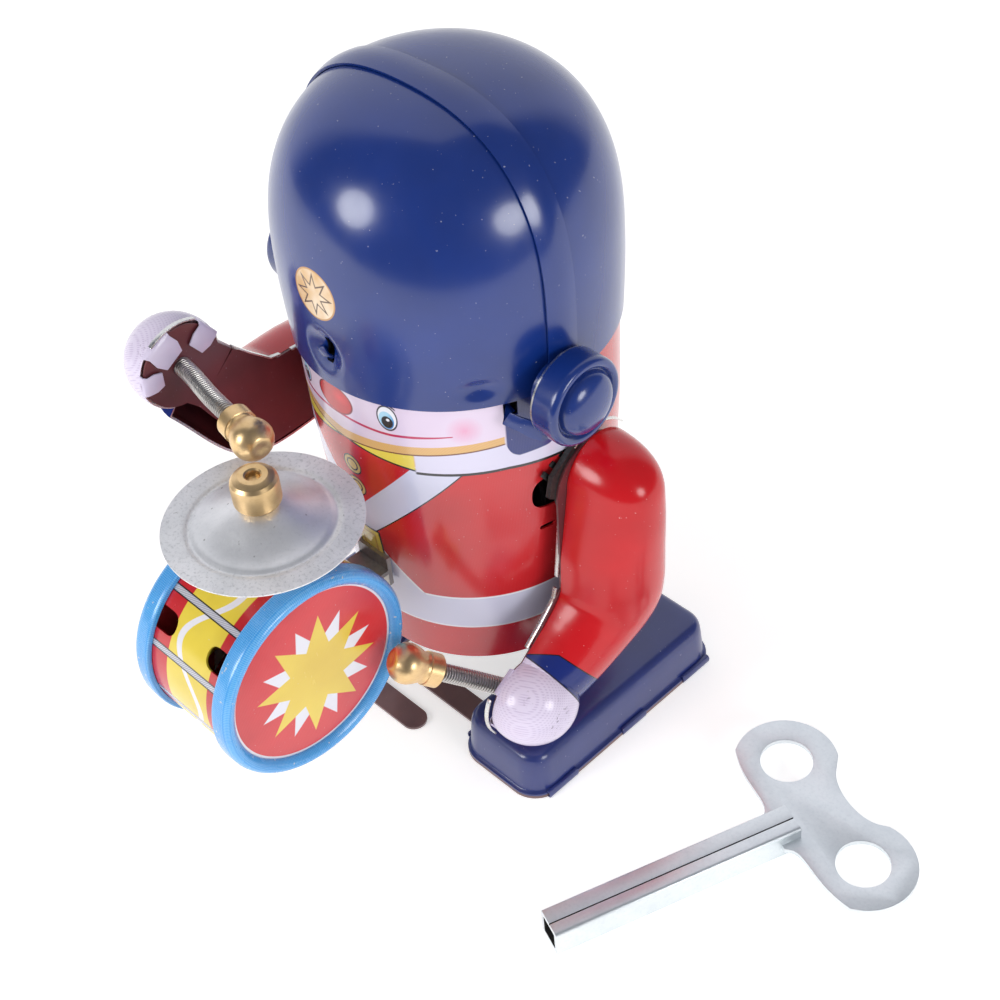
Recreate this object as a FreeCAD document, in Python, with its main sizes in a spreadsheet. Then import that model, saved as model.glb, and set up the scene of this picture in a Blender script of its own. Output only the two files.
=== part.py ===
import FreeCAD, Part
import Sketcher
import math
import os

# A clockwork tin drummer that walks on two shoes, with its loose winding key.
# The figure faces -Y, its own left side is +X, +Z is up. The origin is on the floor, on the
# axis of the round body.

SIZES = {
    "tin": 0.4,
    # body shell: outer radii from the bottom edge up to the neck
    "body_bottom_z": 20.0,
    "body_belt_z": 36.0,
    "body_chest_z": 50.0,
    "body_shoulder_z": 62.0,
    "body_top_z": 79.0,
    "body_bottom_radius": 21.0,
    "body_belt_radius": 22.6,
    "body_chest_radius": 23.9,
    "body_shoulder_radius": 24.7,
    "body_top_radius": 25.1,
    # helmet dome
    "helmet_edge_z": 78.5,
    "helmet_wide_z": 92.0,
    "helmet_top_z": 119.7,
    "helmet_edge_radius": 25.7,
    "helmet_wide_radius": 26.2,
    "helmet_power": 2.6,
    "seam_front_y": -5.7,
    "seam_back_y": -0.6,
    "seam_lift": 0.6,
    # ear discs
    "ear_radius": 6.6,
    "ear_depth": 4.8,
    "ear_dome": 2.4,
    "ear_y": -4.8,
    "ear_z": 78.6,
    "ear_inner_x": 25.3,
    # drum, its axis along X
    "drum_x": 0.5,
    "drum_y": -45.6,
    "drum_z": 39.6,
    "drum_radius": 16.9,
    "drum_length": 22.4,
    "rim_radius": 17.9,
    "rim_inner_radius": 15.5,
    "rim_width": 3.6,
    # cymbal and its post
    "cymbal_x": 4.9,
    "cymbal_y": -45.0,
    "cymbal_z": 67.6,
    "cymbal_radius": 15.0,
    "cymbal_step_radius": 10.8,
    "cymbal_bell_height": 3.4,
    "post_radius": 1.2,
    "nut_height": 5.6,
    "nut_radius": 3.6,
    # movement frame
    "plate_gap": 20.0,
    "plate_thick": 1.0,
    "plate_front_y": -13.5,
    "plate_back_y": 16.5,
    "plate_low_z": 23.0,
    "plate_high_z": 67.0,
    # gear train: module, teeth and shaft places
    "gear_module": 0.5,
    "great_teeth": 50,
    "crank_wheel_teeth": 45,
    "third_wheel_teeth": 40,
    "pinion_teeth": 15,
    "gear_thick": 1.0,
    "arbor_y": 7.0,
    "arbor_z": 37.0,
    "crank_y": -5.0,
    "third_y": 8.0,
    "fly_y": -4.0,
    "shaft_radius": 1.0,
    "bearing_play": 0.05,
    "crank_throw": 4.1,
    "crank_disc_radius": 6.0,
    "square_side": 3.4,
    # legs, shoes and soles
    "leg_x": 14.2,
    "leg_thick": 1.0,
    "leg_stem_width": 8.0,
    "shoe_centre_x": 22.1,
    "shoe_mid_y": -2.1,
    "shoe_width": 18.7,
    "shoe_length": 45.8,
    "shoe_height": 9.2,
    "shoe_draft": 0.9,
    "shoe_corner": 4.6,
    "sole_thick": 0.6,
    "tongue_width": 4.6,
    "tongue_reach": 4.5,
    "tongue_ahead": 15.9,
    # arms
    "pivot_y": 1.5,
    "pivot_z": 57.0,
    "arm_plate_x": 25.9,
    "arm_radius": 8.2,
    "arm_depth_ratio": 1.5,
    "elbow_drop": 21.5,
    "elbow_forward": 0.6,
    "wrist_forward": 12.2,
    "wrist_drop": 30.4,
    "wrist_radius": 5.6,
    "hand_forward": 18.2,
    "hand_drop": 35.6,
    "hand_out_x": 28.0,
    "hand_radius": 7.7,
    "right_arm_lift": 88.0,
    "hub_radius": 2.4,
    "bracket_radius": 7.4,
    "drive_lever_x": 16.5,
    "drive_lever_length": 11.0,
    # drum sticks
    "spring_radius": 1.55,
    "spring_bore": 1.0,
    "stick_length": 25.0,
    "knob_length": 8.6,
    "knob_radius": 3.35,
    # winding key lying on the floor
    "key_x": 69.0,
    "key_y": 8.3,
    "key_turn": -20.3,
    "key_hole_spacing": 23.4,
    "key_hole_radius": 4.4,
    "key_lobe_radius": 8.8,
    "key_thick": 1.0,
    "key_tube": 5.6,
    "key_tube_wall": 0.9,
    "key_shank": 44.0,
}

doc = FreeCAD.newDocument("drummer")
sheet = doc.addObject("Spreadsheet::Sheet", "Sizes")
for row, (alias, number) in enumerate(SIZES.items(), start=1):
    sheet.set(f"A{row}", alias)
    sheet.set(f"B{row}", str(number))
    sheet.setAlias(f"B{row}", alias)
doc.recompute()

NODES = []
UP = FreeCAD.Vector(0, 0, 1)
ALONG_X = FreeCAD.Vector(1, 0, 0)
ALONG_Y = FreeCAD.Vector(0, 1, 0)
ORIGIN = FreeCAD.Vector(0, 0, 0)
FAR = 200.0


def size(alias):
    """One driving dimension, read from the sheet."""
    return float(sheet.get(alias))


def vector(x, y, z):
    return FreeCAD.Vector(x, y, z)


def node(obj, label):
    """Give a finished sub-part its name and note it for the export."""
    obj.Label = label
    NODES.append(obj)
    return obj


def primitive(kind, name, bindings, place=ORIGIN, turn=None):
    """A Part primitive whose sizes follow the sheet."""
    obj = doc.addObject(kind, name)
    for prop, expression in bindings.items():
        obj.setExpression(prop, expression)
    obj.Placement = FreeCAD.Placement(place, turn or FreeCAD.Rotation())
    return obj


def cylinder(name, radius, length, place=ORIGIN, along=UP):
    turn = FreeCAD.Rotation(UP, along)
    return primitive("Part::Cylinder", name, {"Radius": radius, "Height": length}, place, turn)


def combine(kind, name, parts):
    """A cut (first minus second), common or multi-fuse of document objects."""
    obj = doc.addObject(kind, name)
    if kind == "Part::MultiFuse":
        obj.Shapes = parts
    else:
        obj.Base, obj.Tool = parts
    return obj


def shaped(name, shape):
    """A sub-part whose shape comes from Part's own functions."""
    obj = doc.addObject("Part::Feature", name)
    obj.Shape = shape
    return obj


def plane_of(body, role):
    for feature in body.Origin.OriginFeatures:
        if feature.Role == role:
            return feature
    raise ValueError(role)


def bound_sketch(body, name, role, outline):
    """A closed sketch whose every corner is held by two expressions of the sheet."""
    sketch = body.newObject("Sketcher::SketchObject", name)
    sketch.AttachmentSupport = [(plane_of(body, role), "")]
    sketch.MapMode = "FlatFace"
    corners = []
    for across, up in outline:
        corners.append(vector(sheet.evalExpression(across), sheet.evalExpression(up), 0))
    count = len(corners)
    for index, corner in enumerate(corners):
        sketch.addGeometry(Part.LineSegment(corner, corners[(index + 1) % count]), False)
    for index in range(count):
        sketch.addConstraint(Sketcher.Constraint("Coincident", index, 2, (index + 1) % count, 1))
    for index, (across, up) in enumerate(outline):
        for kind, value, expression in (
            ("DistanceX", corners[index].x, across),
            ("DistanceY", corners[index].y, up),
        ):
            place = sketch.addConstraint(Sketcher.Constraint(kind, -1, 1, index, 1, value))
            sketch.setExpression(f"Constraints[{place}]", expression)
    return sketch


def revolved(name, outline):
    """A body of revolution about Z; the outline holds (radius, height) expressions."""
    body = doc.addObject("PartDesign::Body", name)
    sketch = bound_sketch(body, name + "_outline", "XZ_Plane", outline)
    turn = body.newObject("PartDesign::Revolution", name + "_turn")
    turn.Profile = sketch
    turn.ReferenceAxis = (sketch, ["V_Axis"])
    turn.Angle = 360.0
    body.Tip = turn
    return body


def rotate_to_x(obj, x, y, z):
    """Lay a shape made along Z with its axis along +X."""
    obj.Placement = FreeCAD.Placement(vector(x, y, z), FreeCAD.Rotation(UP, ALONG_X))


def box(low, high):
    """A plain box between two corners, given as numbers."""
    return Part.makeBox(high[0] - low[0], high[1] - low[1], high[2] - low[2], vector(*low))


def upright_prism(corners, thickness, x):
    """A flat plate standing in the YZ plane from x to x + thickness."""
    points = [vector(x, y, z) for y, z in corners]
    return Part.Face(Part.makePolygon(points + points[:1])).extrude(vector(thickness, 0, 0))


def rod_x(radius, x_from, x_to, y, z):
    return Part.makeCylinder(radius, x_to - x_from, vector(x_from, y, z), ALONG_X)


def mirrored_x(shape):
    return shape.mirror(ORIGIN, ALONG_X)


# ---------------------------------------------------------------- helmet, ears and body

def helmet_radius(z, lift):
    """Outer radius of the helmet at a height: a tapering skirt, then a superellipse dome."""
    edge_z = size("helmet_edge_z")
    wide_z = size("helmet_wide_z")
    edge = size("helmet_edge_radius") + lift
    wide = size("helmet_wide_radius") + lift
    if z <= wide_z:
        share = math.sin((z - edge_z) / (wide_z - edge_z) * math.pi / 2)
        return edge + (wide - edge) * share
    power = size("helmet_power")
    height = (z - wide_z) / (size("helmet_top_z") + lift - wide_z)
    return wide * max(0.0, 1.0 - height ** power) ** (1.0 / power)


def helmet_solid(lift):
    """The full dome as a solid of revolution, grown outwards by lift."""
    edge_z = size("helmet_edge_z")
    wide_z = size("helmet_wide_z")
    top_z = size("helmet_top_z") + lift
    power = size("helmet_power")
    points = []
    for step in range(5):
        z = edge_z + (wide_z - edge_z) * step / 4
        points.append(vector(helmet_radius(z, lift), 0, z))
    for step in range(1, 17):
        angle = math.pi / 2 * step / 16
        z = wide_z + (top_z - wide_z) * math.sin(angle) ** (2.0 / power)
        points.append(vector(helmet_radius(z, lift), 0, z))
    points[-1] = vector(0, 0, top_z)
    curve = Part.BSplineCurve()
    curve.interpolate(points)
    bottom = vector(0, 0, edge_z)
    wire = Part.Wire([
        curve.toShape(),
        Part.makeLine(points[-1], bottom),
        Part.makeLine(bottom, points[0]),
    ])
    return Part.Face(wire).revolve(ORIGIN, UP, 360)


def helmet_shell(lift):
    """A tin dome, open below, whose outer face is grown by lift."""
    tin = size("tin")
    return helmet_solid(lift).cut(helmet_solid(lift - tin))


def slab_y(low, high):
    return box((-FAR, low, -FAR), (FAR, high, FAR))


def build_helmet():
    lift = size("seam_lift")
    seam_front = size("seam_front_y")
    seam_back = size("seam_back_y")
    overlap_edge = seam_back - 0.5
    shell = helmet_shell(0)
    front = shell.common(slab_y(-FAR, overlap_edge))
    back = shell.common(slab_y(seam_back, FAR))
    band = helmet_shell(lift).common(slab_y(seam_front, seam_back + size("tin")))
    step = helmet_solid(lift).cut(helmet_solid(-size("tin")))
    step = step.common(slab_y(seam_back, seam_back + size("tin")))
    node(shaped("helmet_front", front), "helmet_front")
    node(shaped("helmet_back", back.fuse([band, step]).removeSplitter()), "helmet_back")


def build_ear(name, side):
    """A pressed cup with a rolled rim and a central dome, and the strap that holds it."""
    body = revolved(name + "_cup", [
        ("0", "0"),
        ("Sizes.ear_radius - 0.5", "0"),
        ("Sizes.ear_radius", "0.5"),
        ("Sizes.ear_radius", "Sizes.ear_depth - 0.8"),
        ("Sizes.ear_radius - 0.4", "Sizes.ear_depth - 0.1"),
        ("Sizes.ear_radius - 1.1", "Sizes.ear_depth"),
        ("Sizes.ear_radius - 1.8", "Sizes.ear_depth - 0.6"),
        ("Sizes.ear_radius - 2.1", "Sizes.ear_depth + 0.4"),
        ("Sizes.ear_radius - 3.3", "Sizes.ear_depth + Sizes.ear_dome * 0.68"),
        ("Sizes.ear_radius - 4.9", "Sizes.ear_depth + Sizes.ear_dome * 0.94"),
        ("0", "Sizes.ear_depth + Sizes.ear_dome"),
    ])
    x = side * size("ear_inner_x")
    turn = FreeCAD.Rotation(UP, ALONG_X * side)
    body.Placement = FreeCAD.Placement(vector(x, size("ear_y"), size("ear_z")), turn)
    strap = doc.addObject("Part::Box", name + "_strap")
    strap.Length = 0.5
    strap.Width = 4.2
    strap.Height = 2.4
    strap_turn = FreeCAD.Rotation(ALONG_X, 24)
    corner_x = x if side > 0 else x - strap.Length.Value
    corner = vector(corner_x, size("ear_y") - size("ear_radius") - 2.6, size("ear_z") - 5.6)
    strap.Placement = FreeCAD.Placement(corner, strap_turn)
    whole = combine("Part::MultiFuse", name + "_whole", [body, strap])
    seat = shaped(name + "_seat", helmet_solid(size("seam_lift")))
    node(combine("Part::Cut", name, (whole, seat)), name)


def build_body():
    """The printed barrel in two half shells, its shoulder holes and the key hole."""
    levels = ["bottom", "belt", "chest", "shoulder", "top"]
    outer = [(f"Sizes.body_{level}_radius", f"Sizes.body_{level}_z") for level in levels]
    inner = [(f"{radius} - Sizes.tin", z) for radius, z in reversed(outer)]
    barrel = revolved("barrel", outer + inner)
    shoulder = doc.addObject("Part::Box", "shoulder_slot")
    shoulder.Length = 2 * FAR
    shoulder.Width = 14.0
    shoulder.Height = 6.2
    low_z = size("pivot_z") - 2.6
    shoulder.Placement.Base = vector(-FAR, -8.6, low_z)
    tab_slot = doc.addObject("Part::Box", "tab_slot")
    tab_slot.Length = 2 * FAR
    tab_slot.Width = 2.6
    tab_slot.Height = 0.9
    tab_slot.Placement.Base = vector(-FAR, -7.2, 49.4)
    key_hole = cylinder(
        "key_hole", "Sizes.square_side", f"{FAR}",
        vector(-FAR, size("arbor_y"), size("arbor_z")), ALONG_X,
    )
    openings = combine("Part::MultiFuse", "openings", [shoulder, tab_slot, key_hole])
    pierced = combine("Part::Cut", "pierced_barrel", (barrel, openings))
    for name, low_y in (("body_front", -FAR), ("body_back", 0.0)):
        half = doc.addObject("Part::Box", name + "_half")
        half.Length = 2 * FAR
        half.Width = FAR
        half.Height = FAR
        half.Placement.Base = vector(-FAR, low_y, 0)
        node(combine("Part::Common", name, (pierced, half)), name)


def build_floor_plate():
    """The round tin bottom of the body, with a slot for each leg and feet for the movement."""
    disc = cylinder(
        "floor_disc", "Sizes.body_bottom_radius - Sizes.tin", "Sizes.tin * 2",
        vector(0, 0, size("body_bottom_z")),
    )
    slots = []
    for side in (-1, 1):
        slot = doc.addObject("Part::Box", "leg_slot")
        slot.Length = 2.4
        slot.Width = 18.0
        slot.Height = 10.0
        centre_x = side * (size("leg_x") + size("leg_thick") / 2)
        slot.Placement.Base = vector(centre_x - 1.2, size("shoe_mid_y") - 7.0, 15)
        slots.append(slot)
    cutter = combine("Part::MultiFuse", "leg_slots", slots)
    node(combine("Part::Cut", "floor_plate", (disc, cutter)), "floor_plate")


# ---------------------------------------------------------------- drum and cymbal

def build_drum():
    tube = revolved("drum_tube", [
        ("Sizes.drum_radius - Sizes.tin", "-Sizes.drum_length / 2 + 1.2"),
        ("Sizes.drum_radius", "-Sizes.drum_length / 2 + 1.2"),
        ("Sizes.drum_radius", "Sizes.drum_length / 2 - 1.2"),
        ("Sizes.drum_radius - Sizes.tin", "Sizes.drum_length / 2 - 1.2"),
    ])
    rotate_to_x(tube, size("drum_x"), size("drum_y"), size("drum_z"))
    hole = cylinder(
        "post_hole", "Sizes.post_radius + 0.05", "30",
        vector(size("cymbal_x"), size("cymbal_y"), size("drum_z")),
    )
    node(combine("Part::Cut", "drum_shell", (tube, hole)), "drum_shell")
    for side, name in ((1, "left"), (-1, "right")):
        rim = revolved(f"drum_rim_{name}", [
            ("Sizes.drum_radius", "0"),
            ("Sizes.rim_radius - 0.3", "0"),
            ("Sizes.rim_radius", "0.5"),
            ("Sizes.rim_radius", "Sizes.rim_width - 1.2"),
            ("Sizes.rim_radius - 0.5", "Sizes.rim_width - 0.3"),
            ("Sizes.rim_radius - 1.2", "Sizes.rim_width"),
            ("Sizes.rim_inner_radius", "Sizes.rim_width - 0.6"),
            ("Sizes.rim_inner_radius", "Sizes.rim_width - 1.1"),
            ("Sizes.drum_radius", "Sizes.rim_width - 1.1"),
        ])
        turn = FreeCAD.Rotation(UP, ALONG_X * side)
        start = size("drum_x") + side * (size("drum_length") / 2 - size("rim_width") + 0.3)
        rim.Placement = FreeCAD.Placement(vector(start, size("drum_y"), size("drum_z")), turn)
        node(rim, f"drum_rim_{name}")
        head = revolved(f"drum_head_{name}", [
            ("0", "0"),
            ("Sizes.drum_radius", "0"),
            ("Sizes.drum_radius", "Sizes.tin"),
            ("0", "Sizes.tin"),
        ])
        start = size("drum_x") + side * (size("drum_length") / 2 - 1.2)
        head.Placement = FreeCAD.Placement(vector(start, size("drum_y"), size("drum_z")), turn)
        node(head, f"drum_head_{name}")


def build_drum_bracket():
    """A folded strip riveted to the chest and to the back of the drum shell."""
    y_drum = size("drum_y") + size("drum_radius")
    thick = 0.8
    chest_y = -size("body_belt_radius") - 0.45
    low_z = 37.0
    high_z = 43.0
    web = box((-3.0, y_drum - 0.3, 39.6), (4.0, chest_y, 39.6 + thick))
    on_chest = box((-3.0, chest_y - thick, low_z), (4.0, chest_y, high_z))
    on_drum = box((-3.0, y_drum - 0.3, low_z + 1), (4.0, y_drum + thick, high_z - 1))
    solid = web.fuse([on_chest, on_drum])
    drum = rod_x(size("drum_radius"), -FAR, FAR, size("drum_y"), size("drum_z"))
    barrel = Part.makeCone(
        size("body_belt_radius"), size("body_chest_radius"),
        size("body_chest_z") - size("body_belt_z"), vector(0, 0, size("body_belt_z")),
    )
    node(shaped("drum_bracket", solid.cut(drum).cut(barrel).removeSplitter()), "drum_bracket")


def build_cymbal():
    tin = "Sizes.tin"
    step = "Sizes.cymbal_step_radius"
    bell = "Sizes.cymbal_bell_height"
    cymbal = revolved("cymbal", [
        ("Sizes.post_radius + 0.05", bell),
        (f"{step} * 0.30", bell),
        (f"{step} * 0.52", f"{bell} * 0.62"),
        (f"{step} * 0.98", "0.5"),
        ("Sizes.cymbal_radius", "0"),
        ("Sizes.cymbal_radius", tin),
        (f"{step}", f"{tin} + 0.5"),
        (f"{step} * 0.55", f"{bell} * 0.62 + {tin}"),
        (f"{step} * 0.32", f"{bell} + {tin}"),
        ("Sizes.post_radius + 0.05", f"{bell} + {tin}"),
    ])
    x = size("cymbal_x")
    y = size("cymbal_y")
    z = size("cymbal_z")
    cymbal.Placement.Base = vector(x, y, z)
    node(cymbal, "cymbal")
    nut = revolved("cymbal_nut", [
        ("Sizes.post_radius", "0"),
        ("Sizes.nut_radius - 0.7", "0"),
        ("Sizes.nut_radius", "0.9"),
        ("Sizes.nut_radius", "Sizes.nut_height - 2.2"),
        ("Sizes.nut_radius - 1.1", "Sizes.nut_height - 0.5"),
        ("Sizes.nut_radius - 1.9", "Sizes.nut_height"),
        ("Sizes.post_radius", "Sizes.nut_height"),
    ])
    seat = z + size("cymbal_bell_height") + size("tin")
    nut.Placement.Base = vector(x, y, seat)
    node(nut, "cymbal_nut")
    low = size("drum_z") + size("drum_radius") - 1.2
    post = Part.makeCylinder(size("post_radius"), seat + 4.6 - low, vector(x, y, low))
    collar = Part.makeCylinder(2.4, 0.8, vector(x, y, z + size("cymbal_bell_height") - 0.8))
    node(shaped("cymbal_post", post.fuse(collar)), "cymbal_post")


# ---------------------------------------------------------------- gears and movement

def involute(angle):
    return math.tan(angle) - angle


def gear_solid(teeth, x, y, z, phase, bore, thick):
    """A spur gear standing in the YZ plane; at zero phase a tooth points along +Y."""
    module = size("gear_module")
    pitch = module * teeth / 2
    base = pitch * math.cos(math.radians(20))
    tip = pitch + 0.8 * module
    root = pitch - 1.1 * module
    half = math.pi / (2 * teeth) - 0.06 * module / pitch
    half += involute(math.radians(20))
    flank = []
    for step in range(5):
        radius = max(base, root) + (tip - max(base, root)) * step / 4
        flank.append((radius, half - involute(math.acos(min(1.0, base / radius)))))
    points = []
    for tooth in range(teeth):
        centre = phase + 2 * math.pi * tooth / teeth
        outline = [(root, -half)] + [(r, -a) for r, a in flank]
        outline += [(r, a) for r, a in reversed(flank)] + [(root, half)]
        for radius, angle in outline:
            place = vector(x, y + radius * math.cos(centre + angle), z + radius * math.sin(centre + angle))
            points.append(place)
    wire = Part.makePolygon(points + points[:1])
    solid = Part.Face(wire).extrude(vector(thick, 0, 0))
    if bore > 0:
        solid = solid.cut(rod_x(bore, x - 1, x + thick + 1, y, z))
    return solid


def mesh_phase(teeth, toward):
    """Phase that puts the middle of a tooth gap in a given direction."""
    pitch_angle = 2 * math.pi / teeth
    return toward + pitch_angle / 2


def shaft_places():
    """Centres (y, z) of the four arbors; each stands at its gears' centre distance."""
    module = size("gear_module")
    pinion = size("pinion_teeth")
    centres = [(size("arbor_y"), size("arbor_z"))]
    for wheel, y in (
        ("great_teeth", "crank_y"),
        ("crank_wheel_teeth", "third_y"),
        ("third_wheel_teeth", "fly_y"),
    ):
        reach = module * (size(wheel) + pinion) / 2
        across = size(y) - centres[-1][0]
        centres.append((size(y), centres[-1][1] + math.sqrt(reach ** 2 - across ** 2)))
    return centres


def build_movement_frame():
    """Two steel side plates bored for the arbors, and the pillars between them."""
    gap = size("plate_gap")
    thick = size("plate_thick")
    front = size("plate_front_y")
    back = size("plate_back_y")
    low = size("plate_low_z")
    high = size("plate_high_z")
    bore = size("shaft_radius") + size("bearing_play")
    arbor_bore = size("square_side") * 0.75 + size("bearing_play")
    pivot = (size("pivot_y"), size("pivot_z"))
    corners = [(front, low), (back, low), (back, 50), (12, high), (-10, high), (front, 58)]
    for name, x in (("movement_plate_left", gap / 2), ("movement_plate_right", -gap / 2 - thick)):
        plate = upright_prism(corners, thick, x)
        for index, (y, z) in enumerate(shaft_places()):
            radius = arbor_bore if index == 0 else bore
            plate = plate.cut(rod_x(radius, -FAR, FAR, y, z))
        feet = [box((x, y, size("body_bottom_z") + 2 * size("tin")), (x + thick, y + 4, low + 0.1))
                for y in (-11, 10)]
        plate = plate.fuse(feet)
        node(shaped(name, plate.removeSplitter()), name)
    pillars = []
    for y, z in ((-11.5, 26.0), (15.0, 24.6), (-11.0, 60.5), (2.0, 65.6)):
        pillars.append(rod_x(1.0, -gap / 2, gap / 2, y, z))
    node(shaped("movement_pillars", Part.makeCompound(pillars)), "movement_pillars")
    node(shaped("arm_shaft_bushes", Part.makeCompound([
        bush(side, *pivot) for side in (-1, 1)
    ])), "arm_shaft_bushes")


def bush(side, y, z):
    """A plain bearing pin standing out of a movement plate, for the arm's drive lever."""
    start = size("plate_gap") / 2 + size("plate_thick")
    pin = rod_x(1.2, start, size("drive_lever_x") + 3.0, y, z)
    return pin if side > 0 else mirrored_x(pin)


def build_winding():
    """The winding arbor with its square end and ratchet wheel, the click and the mainspring."""
    y, z = shaft_places()[0]
    thick = size("plate_thick")
    half_gap = size("plate_gap") / 2
    radius = size("square_side") * 0.75
    side = size("square_side")
    round_part = rod_x(radius, -half_gap - thick - 0.4, half_gap + thick + 0.4, y, z)
    square = box((-29.0, y - side / 2, z - side / 2), (-half_gap, y + side / 2, z + side / 2))
    arbor = round_part.fuse(square.common(rod_x(side * 0.64, -FAR, FAR, y, z)))
    ratchet = saw_wheel(16, 5.6, 4.6, -half_gap + 0.5, 1.0, y, z)
    node(shaped("winding_arbor", arbor), "winding_arbor")
    node(shaped("ratchet_wheel", ratchet.cut(rod_x(radius, -FAR, FAR, y, z))), "ratchet_wheel")
    tip_y = y + 5.75
    click = upright_prism(
        [(tip_y, z - 0.6), (tip_y + 1.2, z - 1.4), (tip_y + 2.6, z + 5.4), (tip_y + 0.2, z + 6.0)],
        1.0, -half_gap + 0.5,
    )
    eye = rod_x(1.7, -half_gap + 0.5, -half_gap + 1.5, tip_y + 1.4, z + 6.2)
    hole_radius = 0.8
    click = click.fuse(eye).cut(rod_x(hole_radius + size("bearing_play"), -FAR, FAR, tip_y + 1.4, z + 6.2))
    node(shaped("click", click.removeSplitter()), "click")
    pin = rod_x(hole_radius, -half_gap, -half_gap + 2.2, tip_y + 1.4, z + 6.2)
    node(shaped("click_pin", pin), "click_pin")
    node(shaped("mainspring", spiral_band(y, z, radius + 0.3, 10.4, -4.6, 3.6)), "mainspring")


def saw_wheel(teeth, tip, root, x, thick, y, z):
    """A ratchet wheel with slanting teeth."""
    points = []
    for tooth in range(teeth):
        start = 2 * math.pi * tooth / teeth
        for angle, radius in ((start, tip), (start + 0.02, root), (start + 5.6 / teeth, tip)):
            points.append(vector(x, y + radius * math.cos(angle), z + radius * math.sin(angle)))
    wire = Part.makePolygon(points + points[:1])
    return Part.Face(wire).extrude(vector(thick, 0, 0))


def spiral_band(y, z, inner, outer, x, width):
    """The wound steel band, as one flat spiral strip."""
    turns = 6
    thick = 0.35
    steps = turns * 24
    inside = []
    outside = []
    for step in range(steps + 1):
        angle = 2 * math.pi * turns * step / steps
        radius = inner + (outer - inner) * step / steps
        for ring, extra in ((inside, 0.0), (outside, thick)):
            reach = radius + extra
            ring.append(vector(x, y + reach * math.cos(angle), z + reach * math.sin(angle)))
    points = inside + outside[::-1]
    wire = Part.makePolygon(points + points[:1])
    return Part.Face(wire).extrude(vector(width, 0, 0))


def build_train():
    """Great wheel, crank shaft, third arbor and fly arbor, each wheel in mesh at rest."""
    arbor, crank, third, fly = shaft_places()
    thick = size("gear_thick")
    pinion = int(size("pinion_teeth"))
    shaft = size("shaft_radius")
    half_gap = size("plate_gap") / 2
    over = size("plate_thick")
    great_teeth = int(size("great_teeth"))
    crank_teeth = int(size("crank_wheel_teeth"))
    third_teeth = int(size("third_wheel_teeth"))

    def toward(start, end):
        return math.atan2(end[1] - start[1], end[0] - start[0])

    level_one = -6.6
    level_two = 1.6
    level_three = 5.2
    great = gear_solid(great_teeth, level_one, *arbor, toward(arbor, crank),
                       size("square_side") * 0.75 + size("bearing_play"), thick)
    node(shaped("great_wheel", great), "great_wheel")

    crank_pinion = gear_solid(pinion, level_one - 0.3, *crank,
                              mesh_phase(pinion, toward(crank, arbor)), 0, thick + 0.6)
    crank_wheel = gear_solid(crank_teeth, level_two, *crank, toward(crank, third), shaft, thick)
    rod = rod_x(shaft, -half_gap - over - 1.8, half_gap + over + 1.8, *crank)
    node(shaped("crank_shaft", rod.fuse(crank_pinion)), "crank_shaft")
    node(shaped("crank_wheel", crank_wheel), "crank_wheel")
    for name, side, start in (("crank_disc_left", 1, 0.0), ("crank_disc_right", -1, math.pi)):
        throw = size("crank_throw")
        disc = rod_x(size("crank_disc_radius"), half_gap + over + 0.5, half_gap + over + 1.7, *crank)
        disc = disc.cut(rod_x(shaft, -FAR, FAR, *crank))
        pin_y = crank[0] + throw * math.cos(start)
        pin_z = crank[1] + throw * math.sin(start)
        pin = rod_x(0.9, half_gap + over + 1.6, size("leg_x") - 0.3, pin_y, pin_z)
        disc = disc.fuse(pin).removeSplitter()
        node(shaped(name, disc if side > 0 else mirrored_x(disc)), name)

    third_pinion = gear_solid(pinion, level_two - 0.3, *third,
                              mesh_phase(pinion, toward(third, crank)), 0, thick + 0.6)
    third_wheel = gear_solid(third_teeth, level_three, *third, toward(third, fly), shaft, thick)
    rod = rod_x(shaft, -half_gap - over, half_gap + over, *third)
    node(shaped("third_arbor", rod.fuse(third_pinion)), "third_arbor")
    node(shaped("third_wheel", third_wheel), "third_wheel")

    fly_pinion = gear_solid(pinion, level_three - 0.3, *fly,
                            mesh_phase(pinion, toward(fly, third)), 0, thick + 0.6)
    rod = rod_x(shaft, -half_gap - over, half_gap + over, *fly)
    node(shaped("fly_arbor", rod.fuse(fly_pinion)), "fly_arbor")
    vane = box((-6.0, fly[0] - 3.4, fly[1] - 0.3), (1.0, fly[0] + 3.4, fly[1] + 0.3))
    sleeve = rod_x(shaft + 0.7, -6.0, 1.0, *fly)
    fan = vane.fuse(sleeve).cut(rod_x(shaft, -FAR, FAR, *fly))
    node(shaped("governor_fly", fan.removeSplitter()), "governor_fly")


# ---------------------------------------------------------------- legs and shoes

def rounded_rectangle(width, length, corner, x, y, z):
    """A closed wire of four sides and four quarter rounds."""
    solid = Part.makeBox(width, length, 1.0, vector(x - width / 2, y - length / 2, z))
    upright = [edge for edge in solid.Edges
               if abs(edge.Vertexes[0].Z - edge.Vertexes[1].Z) > 0.5]
    solid = solid.makeFillet(corner, upright)
    bottom = min(solid.Faces, key=lambda face: face.CenterOfMass.z)
    return bottom.OuterWire


def shoe_block(inset, low, high, draft=0.0):
    """A block with the left shoe's outline, shrunk all round by inset, narrowing upwards by draft."""
    width = size("shoe_width") - 2 * inset
    length = size("shoe_length") - 2 * inset
    corner = size("shoe_corner") - inset
    x = size("shoe_centre_x")
    y = size("shoe_mid_y") + size("crank_throw")
    foot = rounded_rectangle(width, length, corner, x, y, low)
    top = rounded_rectangle(width - 2 * draft, length - 2 * draft, corner - draft, x, y, high)
    return Part.makeLoft([foot, top], True)


def leg_centre_y():
    return size("shoe_mid_y") + size("crank_throw") + 2.0


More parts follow.
